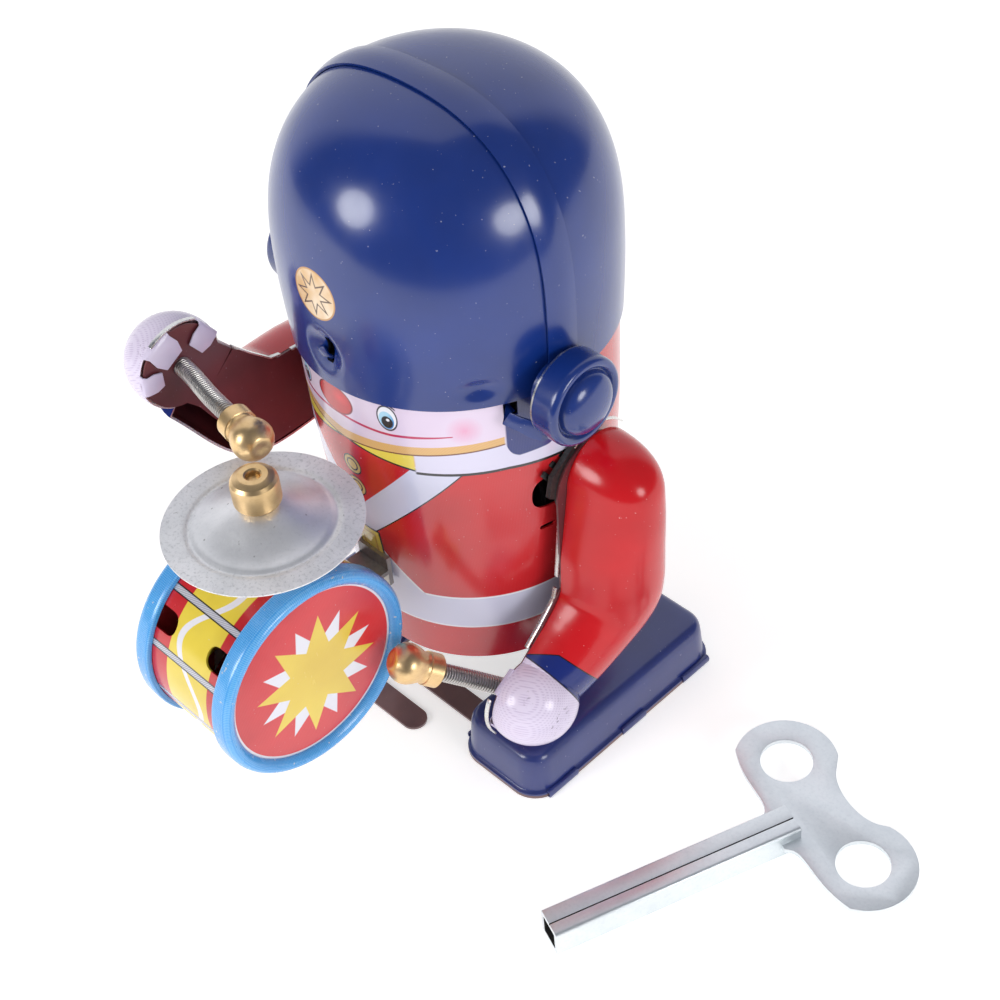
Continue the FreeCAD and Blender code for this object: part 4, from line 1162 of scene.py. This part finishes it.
def cymbal_metal():
    """Galvanised tin: speckled flange, radial press ticks by the step, smoother bell."""
    paint = Paint("cymbal_metal")
    x, y, z = paint.where()
    across = x - CYMBAL.x
    along_y = y - CYMBAL.y
    radius = length(across, along_y)
    angle = along_y.op("ARCTAN2", across)
    fine = paint.noise(1.9, 4.0, 0.65)
    slow = paint.noise(0.10, 4.0, 0.6)
    pit = paint.noise(0.75, 1.0)
    flange = fade(radius, 10.4, 11.4)
    paint.look = paint.mix((0.92, 0.92, 0.93), (0.76, 0.77, 0.78), fade(slow, 0.4, 0.7))
    paint.over((0.58, 0.59, 0.60), fade(fine, 0.52, 0.72) * (flange * 0.5 + 0.25))
    paint.over((0.22, 0.21, 0.20), fade(pit, 0.745, 0.78) * 0.6)
    paint.apply()
    ticks = (angle * 110.0).op("SINE") * inside(abs(radius - 11.2) - 0.25, 0.3)
    paint.set(Metallic=0.85, Roughness=fine * 0.30 + flange * 0.12 + 0.30)
    paint.bump(fine * (flange * 0.8 + 0.35) + ticks * 0.25, 0.5, 0.08)
    return paint.material


build_drum()
build_cymbal()


# ------------------------------------------------------------------ arms and sticks

ARM_OPEN_X = 0.45
SHOULDER_HIGH = 7.2
# from the shoulder down: inner edge, outer edge (y, z from the pivot) and depth of the sleeve
STATIONS = (
    ((-5.9, 1.0), (8.1, 1.0), 12.3), ((-7.0, -5.2), (8.3, -5.0), 12.6),
    ((-8.2, -12.0), (8.5, -12.0), 12.4), ((-8.5, -17.2), (8.7, -19.0), 12.2),
    ((-8.7, -19.0), (8.4, -23.8), 11.8), ((-9.2, -20.1), (7.0, -27.8), 11.2),
    ((-10.6, -21.7), (4.0, -31.2), 10.4), ((-12.8, -23.8), (0.0, -34.0), 9.6),
    ((-15.2, -25.7), (-3.8, -36.2), 9.0), ((-17.6, -27.5), (-7.0, -38.0), 8.4),
    ((-20.0, -29.6), (-10.2, -40.0), 7.4),
)
HAND = Vector((2.1, -18.2, -35.6))
HAND_R = 7.7


def arm_sections():
    """Edge pairs and depths from the dome of the shoulder down to the hand, spaced finely."""
    first_in, first_out, first_depth = STATIONS[0]
    mid_y = (first_in[0] + first_out[0]) / 2
    half = (first_out[0] - first_in[0]) / 2
    rows = []
    for turn in range(84, 0, -7):
        lean = math.radians(turn)
        reach = half * math.cos(lean)
        z = first_in[1] + SHOULDER_HIGH * math.sin(lean)
        rows.append(((mid_y - reach, z), (mid_y + reach, z), first_depth * math.cos(lean) ** 0.95))
    for index, (start, end) in enumerate(zip(STATIONS, STATIONS[1:])):
        count = 6 if index < 3 else 3
        for step in range(count):
            share = step / count
            rows.append((
                tuple(a + (b - a) * share for a, b in zip(start[0], end[0])),
                tuple(a + (b - a) * share for a, b in zip(start[1], end[1])),
                start[2] + (end[2] - start[2]) * share,
            ))
    rows.append(STATIONS[-1])
    return rows


def smoothed(rows, passes):
    """Even out the outer edge and depth of neighbouring sections; the inner edge keeps its crease."""
    rows = [list(row) for row in rows]
    for _ in range(passes):
        copy = [list(row) for row in rows]
        for index in range(1, len(rows) - 1):
            before, here, after = copy[index - 1], copy[index], copy[index + 1]
            rows[index][1] = tuple((a + 2 * b + c) / 4 for a, b, c in zip(before[1], here[1], after[1]))
            rows[index][2] = (before[2] + 2 * here[2] + after[2]) / 4
    return rows


def arm_solid(name):
    """The arm as one closed body with a flat side where the shell is open."""
    rows = smoothed(arm_sections(), 3)
    around = 26
    points = []
    faces = []
    for (inner, outer, depth) in rows:
        mid = ((inner[0] + outer[0]) / 2, (inner[1] + outer[1]) / 2)
        half = ((outer[0] - inner[0]) / 2, (outer[1] - inner[1]) / 2)
        for step in range(around + 1):
            turn = math.pi * step / around
            reach = -math.cos(turn)
            reach = math.copysign(abs(reach) ** 0.92, reach)
            out = math.sin(turn) ** 0.78 if 0 < step < around else 0.0
            points.append((-0.6 + (depth + 0.6) * out, mid[0] + half[0] * reach, mid[1] + half[1] * reach))
    size = around + 1
    for row in range(len(rows) - 1):
        for step in range(around):
            a = row * size + step
            faces.append((a, a + 1, a + size + 1, a + size))
        faces.append((row * size, (row + 1) * size, (row + 1) * size + around, row * size + around))
    faces.append(tuple(range(size)))
    last = (len(rows) - 1) * size
    faces.append(tuple(range(last, last + size))[::-1])
    return make(name, points, faces, [ARM_PRINT, BROWN_TIN, BARE_EDGE])


def store_local(obj):
    """Keep each vertex's place on the hanging arm, in mm, for the printed pattern."""
    data = obj.data.attributes.new("local", "FLOAT_VECTOR", "POINT")
    for vert, slot in zip(obj.data.vertices, data.data):
        slot.vector = vert.co * 1000


def arm_place(side, lift):
    """From the hanging arm, measured from its pivot, to its place on the figure."""
    turn = Matrix.Rotation(math.radians(-lift), 4, "X")
    mirror = Matrix.Diagonal((side, 1, 1, 1))
    move = Matrix.Translation(Vector((PIVOT.x * side, PIVOT.y, PIVOT.z)) * MM)
    return move @ mirror @ turn


def put(obj, place, side):
    obj.data.transform(place)
    if side < 0:
        obj.data.flip_normals()
    return finish_mesh(obj)


def build_arm(name, side, lift, stick_direction, reach):
    place = arm_place(side, lift)
    solid = arm_solid(f"arm_{name}_solid")
    ball_profile = arc((0.0, 0.0), HAND_R, HAND_R, range(-90, 91, 6))
    ball_profile[0] = (0.0, -HAND_R)
    ball_profile[-1] = (0.0, HAND_R)
    materials = [ARM_PRINT, BROWN_TIN, BARE_EDGE]
    ball = lathe("hand_ball", ball_profile, Matrix.Translation(HAND), materials, 56)
    subtract(solid, ball, "UNION")
    bm = bmesh.new()
    bm.from_mesh(solid.data)
    bmesh.ops.remove_doubles(bm, verts=bm.verts, dist=2e-6)
    geometry = bm.verts[:] + bm.edges[:] + bm.faces[:]
    bmesh.ops.bisect_plane(
        bm, geom=geometry, dist=1e-7, plane_co=(ARM_OPEN_X * MM, 0, 0), plane_no=(1, 0, 0), clear_inner=True)
    bm.normal_update()
    bm.to_mesh(solid.data)
    bm.free()
    thicken(solid, TIN, 1, 2, even=False)
    solid.name = f"arm_{name}_sleeve"
    store_local(solid)
    put(solid, place, side)
    place_piece(solid, f"{name}_arm", "red_tin", f"arm_shell_{name}")

    hand_tabs(name, place, side)
    edge_clips(name, place, side)
    stick(name, place, side, Vector(stick_direction).normalized(), reach)


def hand_tabs(name, place, side):
    """Pale tabs folded from the hand shell over the inner plate."""
    tabs = []
    for angle, wide, long in ((123.0, 4.6, 3.8), (-152.0, 5.4, 4.6), (-94.0, 3.6, 3.2)):
        turn = math.radians(angle)
        out = Vector((0, math.cos(turn), math.sin(turn)))
        centre = Vector((0, HAND.y, HAND.z))
        rim = centre + out * (HAND_R - 0.55)
        path = [
            rim + Vector((0.55, 0, 0)), rim + Vector((-0.05, 0, 0)) - out * 0.05,
            rim + Vector((-0.35, 0, 0)) - out * 0.5, rim + Vector((-0.36, 0, 0)) - out * long * 0.55,
            rim + Vector((-0.30, 0, 0)) - out * long,
        ]
        normals = [tuple(out), tuple(out + Vector((-1, 0, 0))), (-1, 0, 0), (-1, 0, 0), (-1, 0, 0)]
        widths = [wide * 1.1, wide, wide * 0.9, wide * 0.95, wide * 0.7]
        tabs.append(bent_strip("tab", path, widths, 0.32, [HAND_TIN], normals, 0.08))
    tab = join(f"hand_tabs_{name}", tabs)
    put(tab, place, side)
    place_piece(tab, f"{name}_arm", "red_tin")


def edge_clips(name, place, side):
    """The inner plate's bare edge standing out past the sleeve in segments, with gaps between."""
    inner_edge = [(-7.15, -5.4), (-8.55, -16.0)]
    elbow = [(-9.0, -18.2), (-9.6, -20.3), (-12.9, -23.6), (-16.3, -26.6)]
    cup = arc((HAND.y, HAND.z), 7.95, 7.95, range(150, 215, 8))
    top = arc((1.2, 1.2), 7.6, 8.0, range(38, 132, 8))
    strips = []
    for outline in (inner_edge, elbow, cup, top):
        path = [Vector((0, y, z)) for y, z in outline]
        normal = []
        for index, point in enumerate(path):
            before = path[max(0, index - 1)]
            after = path[min(len(path) - 1, index + 1)]
            tangent = (after - before).normalized()
            normal.append(tuple(tangent.cross(Vector((1, 0, 0)))))
        path = [point + Vector((-0.25, 0, 0)) for point in path]
        strips.append(bent_strip("edge", path, 0.8, 0.3, [BARE_EDGE], normal, 0.1))
    edge = join(f"plate_edges_{name}", strips)
    put(edge, place, side)
    place_piece(edge, f"{name}_arm", "red_tin")


STICK_LONG = 25.0
KNOB_LONG = 8.6
KNOB_SOCKET = 3.0
SPRING_R = 1.55
WIRE_R = 0.20
COIL_PITCH = 0.475
COIL_SIDES = 18


def stick(name, place, side, direction, reach):
    """Close-wound spring and its turned brass knob."""
    start_at = Vector((0.0, HAND.y, HAND.z))
    tip = start_at + direction * reach
    spring_long = STICK_LONG - KNOB_LONG + KNOB_SOCKET
    spring_at = along(tip - direction * STICK_LONG, direction)
    coil = SPRING_R - WIRE_R
    steps = int(spring_long / COIL_PITCH) * COIL_SIDES
    path = []
    for step in range(steps + 1):
        turn = 2 * math.pi * step / COIL_SIDES
        sag = 0.10 * math.sin(step / steps * 9.0)
        on_coil = (coil * math.cos(turn) + sag, coil * math.sin(turn), spring_long * step / steps)
        path.append(spring_at @ Vector(on_coil))
    spring = pipe(f"spring_{name}_wire", path, WIRE_R, [SPRING_STEEL], 7)
    put(spring, place, side)
    place_piece(spring, f"{name}_arm", "steel", f"stick_spring_{name}")
    profile = [(1.58, 0.0), (2.5, 0.0), (2.78, 0.25), (2.8, 2.5), (2.6, 2.62), (2.52, 3.0), (2.56, 3.3)]
    profile += [(2.78, 3.8), (3.08, 4.5), (3.28, 5.2), (3.36, 5.8), (3.34, 6.3)]
    profile += [(3.18, 6.9), (2.78, 7.6), (1.95, 8.35), (1.75, 8.5), (1.1, KNOB_LONG), (0.5, 8.4)]
    profile += [(0.0, 8.35), (0.0, KNOB_SOCKET), (1.58, KNOB_SOCKET)]
    knob_at = along(tip - direction * KNOB_LONG, direction)
    knob = lathe(f"knob_{name}_turned", profile, knob_at, [BRASS], 72, True, 14)
    put(knob, place, side)
    place_piece(knob, f"{name}_arm", "brass", f"stick_knob_{name}")


build_arm("left", 1, 0.0, (-0.434, -0.691, 0.578), 24.9)
build_arm("right", -1, RIGHT_ARM_LIFT, (-0.987, 0.011, -0.160), 24.5)


# ------------------------------------------------------------------ shoes and key

def rounded_outline(half_x, half_y, corner, steps=8):
    """A rectangle with round corners, as points in order."""
    points = []
    for centre_x, centre_y, start in (
            (half_x - corner, half_y - corner, 0), (corner - half_x, half_y - corner, 90),
            (corner - half_x, corner - half_y, 180), (half_x - corner, corner - half_y, 270)):
        turns = [start + 90 * step / steps for step in range(steps + 1)]
        points += arc((centre_x, centre_y), corner, corner, turns)
    return points


def build_shoe(name, body):
    low, high = corners(f"shoe_{name}")
    centre = (low + high) / 2
    half_x = (high.x - low.x) / 2 - 0.5
    half_y = (high.y - low.y) / 2 - 0.5
    levels = (
        (-0.5, 0.62), (-0.5, 0.95), (-0.2, 1.05), (0.05, 1.3), (0.12, 2.2), (0.35, 5.0), (0.55, 7.0),
        (0.75, 7.9), (1.15, 8.6), (1.75, 9.05), (2.5, 9.2), (4.2, 9.22), (6.6, 9.2),
    )
    points = []
    count = len(rounded_outline(1, 1, 0.2))
    for inset, z in levels:
        for x, y in rounded_outline(half_x - inset, half_y - inset, max(4.6 - inset, 0.8)):
            points.append((centre.x + x, centre.y + y, z))
    last = (len(levels) - 1) * count
    faces = ring_faces(len(levels), count)
    faces.append(tuple(range(last, last + count)))
    shoe = make(f"shoe_{name}_shell", points, faces, [SHOE_TIN, INNER_TIN, BARE_EDGE])
    thicken(shoe, TIN, 1, 2)
    finish_mesh(shoe)
    side = 1 if centre.x > 0 else -1
    slot_y = centre.y + 2.0
    slot_x = (SHOE_SLOT_X - 0.7, SHOE_SLOT_X + 0.7)
    slot_x = slot_x if side > 0 else (-slot_x[1], -slot_x[0])
    cut_away(shoe, (slot_x[0], slot_y - 4.3, 7.4), (slot_x[1], slot_y + 4.3, 12.0))
    finish_mesh(shoe)
    place_piece(shoe, body, "blue_tin", f"shoe_{name}")
    clips = []
    for along_y, width in ((-0.36, 7.0), (0.02, 6.0), (0.37, 7.0)):
        y = centre.y + along_y * (high.y - low.y)
        for edge in (-1, 1):
            x = centre.x + edge * (half_x + 0.42)
            path = [
                Vector((x - edge * 0.3, y, 0.18)), Vector((x + edge * 0.10, y, 0.22)),
                Vector((x + edge * 0.16, y, 0.75)), Vector((x - edge * 0.02, y, 1.18)),
                Vector((x - edge * 0.45, y, 1.22)),
            ]
            normals = [(0, 0, -1), (edge, 0, -0.6), (edge, 0, 0), (edge, 0, 0.8), (0, 0, 1)]
            clips.append(bent_strip("clip", path, width, 0.22, [SHOE_TIN], normals, 0.06))
    clip = join(f"sole_clips_{name}", clips)
    finish_mesh(clip)
    place_piece(clip, body, "brown_lacquer")


def build_key():
    """The loose key: a stamped two-lobed wing on a folded square tube with its seam."""
    half = KEY_SPACING / 2
    lobe = KEY_LOBE
    outline = arc((-half, 0.0), lobe, lobe, range(222, 62, -8))
    dip = [(-half + lobe * 0.62, lobe * 0.72), (-3.4, 3.9), (3.4, 3.9), (half - lobe * 0.62, lobe * 0.72)]
    outline += bezier(dip, 14)
    outline += arc((half, 0.0), lobe, lobe, range(118, -42, -8))
    neck_right = [(half + lobe * 0.70, -lobe * 0.72), (half - 1.2, -9.4), (5.2, -6.2), (3.6, -9.6)]
    outline += bezier(neck_right, 14)
    neck_left = [(-3.6, -9.6), (-5.2, -6.2), (1.2 - half, -9.4), (-half - lobe * 0.70, -lobe * 0.72)]
    outline += bezier(neck_left, 14)
    place = Matrix.Translation((KEY_AT.x, KEY_AT.y, 0)) @ Matrix.Rotation(math.radians(KEY_TURN), 4, "Z")
    thick = 1.0
    mid = KEY_TUBE / 2 - thick / 2
    wing = slab("key_wing_plate", outline, thick, place @ Matrix.Translation((0, 0, mid)), [ZINC])
    for x in (-half, half):
        hole = [(0, -1), (KEY_HOLE, -1), (KEY_HOLE, 3), (0, 3)]
        subtract(wing, lathe("hole_tool", hole, place @ Matrix.Translation((x, 0, mid)), [ZINC], 64))
    soften(wing, 0.16, 50)
    place_piece(wing, "key", "plated_tin", "key_wing")
    start = 6.0
    long = KEY_SHANK
    half_tube = KEY_TUBE / 2
    wall = 0.9
    inner = half_tube - wall
    high = KEY_TUBE - wall
    section = [(-half_tube, 0), (half_tube, 0), (half_tube, KEY_TUBE), (-half_tube, KEY_TUBE)]
    section = round_corners(section, 0.7)
    bore = round_corners([(-inner, wall), (inner, wall), (inner, high), (-inner, high)], 0.25)
    groove = [(0.25, KEY_TUBE - 0.45), (0.42, KEY_TUBE - 0.45), (0.42, KEY_TUBE + 1), (0.25, KEY_TUBE + 1)]
    upright = place @ Matrix.Rotation(math.radians(90), 4, "X")
    tube = slab("key_tube", section, long, upright @ Matrix.Translation((0, 0, start)), [ZINC, DARK])
    for outline, begin, reach in ((bore, start + 6.0, long), (groove, start - 1, long + 2)):
        tool_at = upright @ Matrix.Translation((0, 0, begin))
        subtract(tube, slab("tube_tool", outline, reach, tool_at, [DARK]))
    soften(tube, 0.10)
    place_piece(tube, "key", "plated_tin", "key_shank")


def bezier(control, steps):
    """Points along a cubic curve."""
    points = []
    for step in range(steps + 1):
        t = step / steps
        weights = ((1 - t) ** 3, 3 * t * (1 - t) ** 2, 3 * t * t * (1 - t), t ** 3)
        points.append(tuple(sum(w * p[axis] for w, p in zip(weights, control)) for axis in (0, 1)))
    return points


build_shoe("left", "left_foot")
build_shoe("right", "right_foot")
build_key()


# ------------------------------------------------------------------ frame pieces that stay as they are

def bracket_ribs(name, side, lift):
    """Ribs pressed into the black plastic bracket at the top of the arm."""
    ribs = []
    place = arm_place(side, lift)
    for share in (0.1, 0.36, 0.62, 0.88):
        y = -8.6 + 7.2 * share
        z = 3.9 + 3.4 * share
        ribs.append(bent_strip(
            "rib", [Vector((-1.35, y - 0.9, z + 1.1)), Vector((-1.35, y + 1.2, z - 2.0))], 1.0, 0.45,
            [BLACK_PLASTIC], (-1, 0, 0), 0.1))
    rib = join(f"bracket_ribs_{name}", ribs)
    put(rib, place, side)
    place_piece(rib, f"{name}_arm", "black_plastic")


bracket_ribs("left", 1, 0.0)
bracket_ribs("right", -1, RIGHT_ARM_LIFT)

CAD_LOOKS = {
    "arm_plate": BROWN_TIN, "arm_bracket": BLACK_PLASTIC, "drive_lever": STEEL, "sole": SOLE_TIN,
    "leg": STEEL, "shoe_rivets": STEEL, "floor_plate": INNER_TIN, "drum_bracket": DRUM_BRACKET_TIN,
    "cymbal_post": BRASS, "movement": STEEL, "arm_shaft_bushes": STEEL, "winding_arbor": STEEL,
    "ratchet_wheel": STEEL, "click": STEEL, "mainspring": SPRING_STEEL, "great_wheel": GEAR_BRASS,
    "crank_wheel": GEAR_BRASS, "third_wheel": GEAR_BRASS, "crank": STEEL, "third": STEEL, "fly": STEEL,
    "governor": GEAR_BRASS,
}


def dress_frame():
    """Every frame node that stays in view gets the material of its kind."""
    for name, obj in NODES.items():
        for start, material in CAD_LOOKS.items():
            if name.startswith(start):
                obj.data.materials.clear()
                obj.data.materials.append(material)
                break


dress_frame()


# ------------------------------------------------------------------ floor, light and camera

CAMERA_SIDE = (0.756, -0.655)
CAMERA_AZIMUTH = 49.09
CAMERA_HEIGHT = 43.38
CAMERA_ROLL = -5.62
CAMERA_LENS = 64.8
CAMERA_AT = Vector((170.65, -143.06, 246.4))
TABLE_FRONT = 0.25
EVEN_LIGHT = 0.62
LAMP_DISTANCE = 0.9
DIM_ROOM = (0.12, 0.13, 0.16, 1.0)
WHITE_SWEEP = (0.93, 0.94, 1.0, 1.0)


def build_floor():
    """White paper that ends in front of the toy: past its edge, reflections show the dim room."""
    paint = Paint("floor_paper")
    grain = paint.noise(0.02, 2.0)
    paint.look = paint.mix((0.90, 0.90, 0.90), (0.94, 0.94, 0.94), grain)
    paint.apply()
    paint.set(Roughness=grain * 0.1 + 0.8, Specular_IOR_Level=0.0)
    paint.set(Emission_Color=(1.0, 1.0, 1.0, 1.0), Emission_Strength=0.42)
    x, y, z = paint.where()
    ahead = (x * CAMERA_SIDE[0] + y * CAMERA_SIDE[1]) * MM
    path = Num(paint.tree, paint.node("ShaderNodeLightPath").outputs["Is Glossy Ray"])
    beyond = fade(ahead, TABLE_FRONT, TABLE_FRONT + 0.06) * path
    dim = paint.node("ShaderNodeEmission")
    dim.inputs[0].default_value = DIM_ROOM
    mixer = paint.node("ShaderNodeMixShader")
    paint.tree.links.new(beyond.socket, mixer.inputs[0])
    paint.tree.links.new(paint.shader.outputs[0], mixer.inputs[1])
    paint.tree.links.new(dim.outputs[0], mixer.inputs[2])
    output = paint.tree.nodes["Material Output"]
    paint.tree.links.new(mixer.outputs[0], output.inputs[0])
    bpy.ops.mesh.primitive_plane_add(size=6.0, location=(0.0, 0.0, -0.0001))
    floor = bpy.context.object
    floor.name = "floor"
    floor.data.materials.append(paint.material)


def build_surroundings():
    """Even white light; in reflections, a white sweep behind the toy and a dim room before it."""
    world = bpy.data.worlds.new("studio")
    bpy.context.scene.world = world
    world.use_nodes = True
    tree = world.node_tree
    tree.nodes.clear()
    coord = tree.nodes.new("ShaderNodeTexCoord")
    split = tree.nodes.new("ShaderNodeSeparateXYZ")
    tree.links.new(coord.outputs["Generated"], split.inputs[0])
    x, y, z = (Num(tree, split.outputs[index]) for index in range(3))
    flat = length(x, y) + 0.0001
    facing = (x * CAMERA_SIDE[0] + y * CAMERA_SIDE[1]) / flat
    sweep = fade(-facing, 0.42, 0.66)
    glossy = Num(tree, tree.nodes.new("ShaderNodeLightPath").outputs["Is Glossy Ray"])

    def background(colour, strength):
        node = tree.nodes.new("ShaderNodeBackground")
        node.inputs[0].default_value = colour
        node.inputs[1].default_value = strength
        return node

    def blend(share, first, second):
        node = tree.nodes.new("ShaderNodeMixShader")
        for slot, socket in enumerate((share.socket, first.outputs[0], second.outputs[0])):
            tree.links.new(socket, node.inputs[slot])
        return node

    mirrored = blend(sweep, background(DIM_ROOM, 1.0), background(WHITE_SWEEP, 0.95))
    result = blend(glossy, background((1.0, 1.0, 1.0, 1.0), EVEN_LIGHT), mirrored)
    output = tree.nodes.new("ShaderNodeOutputWorld")
    tree.links.new(result.outputs[0], output.inputs[0])


def soft_light(name, direction, size, power):
    """A round soft light looking at the object from a direction, in metres and watts."""
    data = bpy.data.lights.new(name, "AREA")
    data.shape = "DISK"
    data.size = size
    data.energy = power
    lamp = bpy.data.objects.new(name, data)
    bpy.context.scene.collection.objects.link(lamp)
    towards = Vector(direction).normalized()
    lamp.location = Vector((0.0, 0.0, 0.06)) + towards * LAMP_DISTANCE
    lamp.rotation_euler = towards.to_track_quat("Z", "Y").to_euler()


def aim(azimuth, elevation):
    """A direction from its azimuth, counted from the front towards the figure's left, and its height."""
    turn = math.radians(azimuth)
    lift = math.radians(elevation)
    return (math.sin(turn) * math.cos(lift), -math.cos(turn) * math.cos(lift), math.sin(lift))


def build_camera():
    """The camera stands high in front of the figure's left side, rolled a little."""
    azimuth = math.radians(CAMERA_AZIMUTH)
    roll = math.radians(CAMERA_ROLL)
    back = Vector(aim(CAMERA_AZIMUTH, CAMERA_HEIGHT))
    right = Vector((math.cos(azimuth), math.sin(azimuth), 0.0))
    up = back.cross(right)
    rolled_right = right * math.cos(roll) + up * math.sin(roll)
    rolled_up = up * math.cos(roll) - right * math.sin(roll)
    data = bpy.data.cameras.new("camera")
    data.sensor_width = 36.0
    data.lens = CAMERA_LENS
    data.clip_start = 0.01
    camera = bpy.data.objects.new("camera", data)
    bpy.context.scene.collection.objects.link(camera)
    turn = Matrix((rolled_right, rolled_up, back)).transposed().to_4x4()
    camera.matrix_world = Matrix.Translation(CAMERA_AT * MM) @ turn
    bpy.context.scene.camera = camera


build_floor()
build_surroundings()
soft_light("front_light", aim(-14.0, 23.0), 0.40, 3.2)
soft_light("side_light", aim(90.0, 15.0), 0.34, 2.2)
build_camera()
bpy.context.scene.view_settings.view_transform = "Standard"
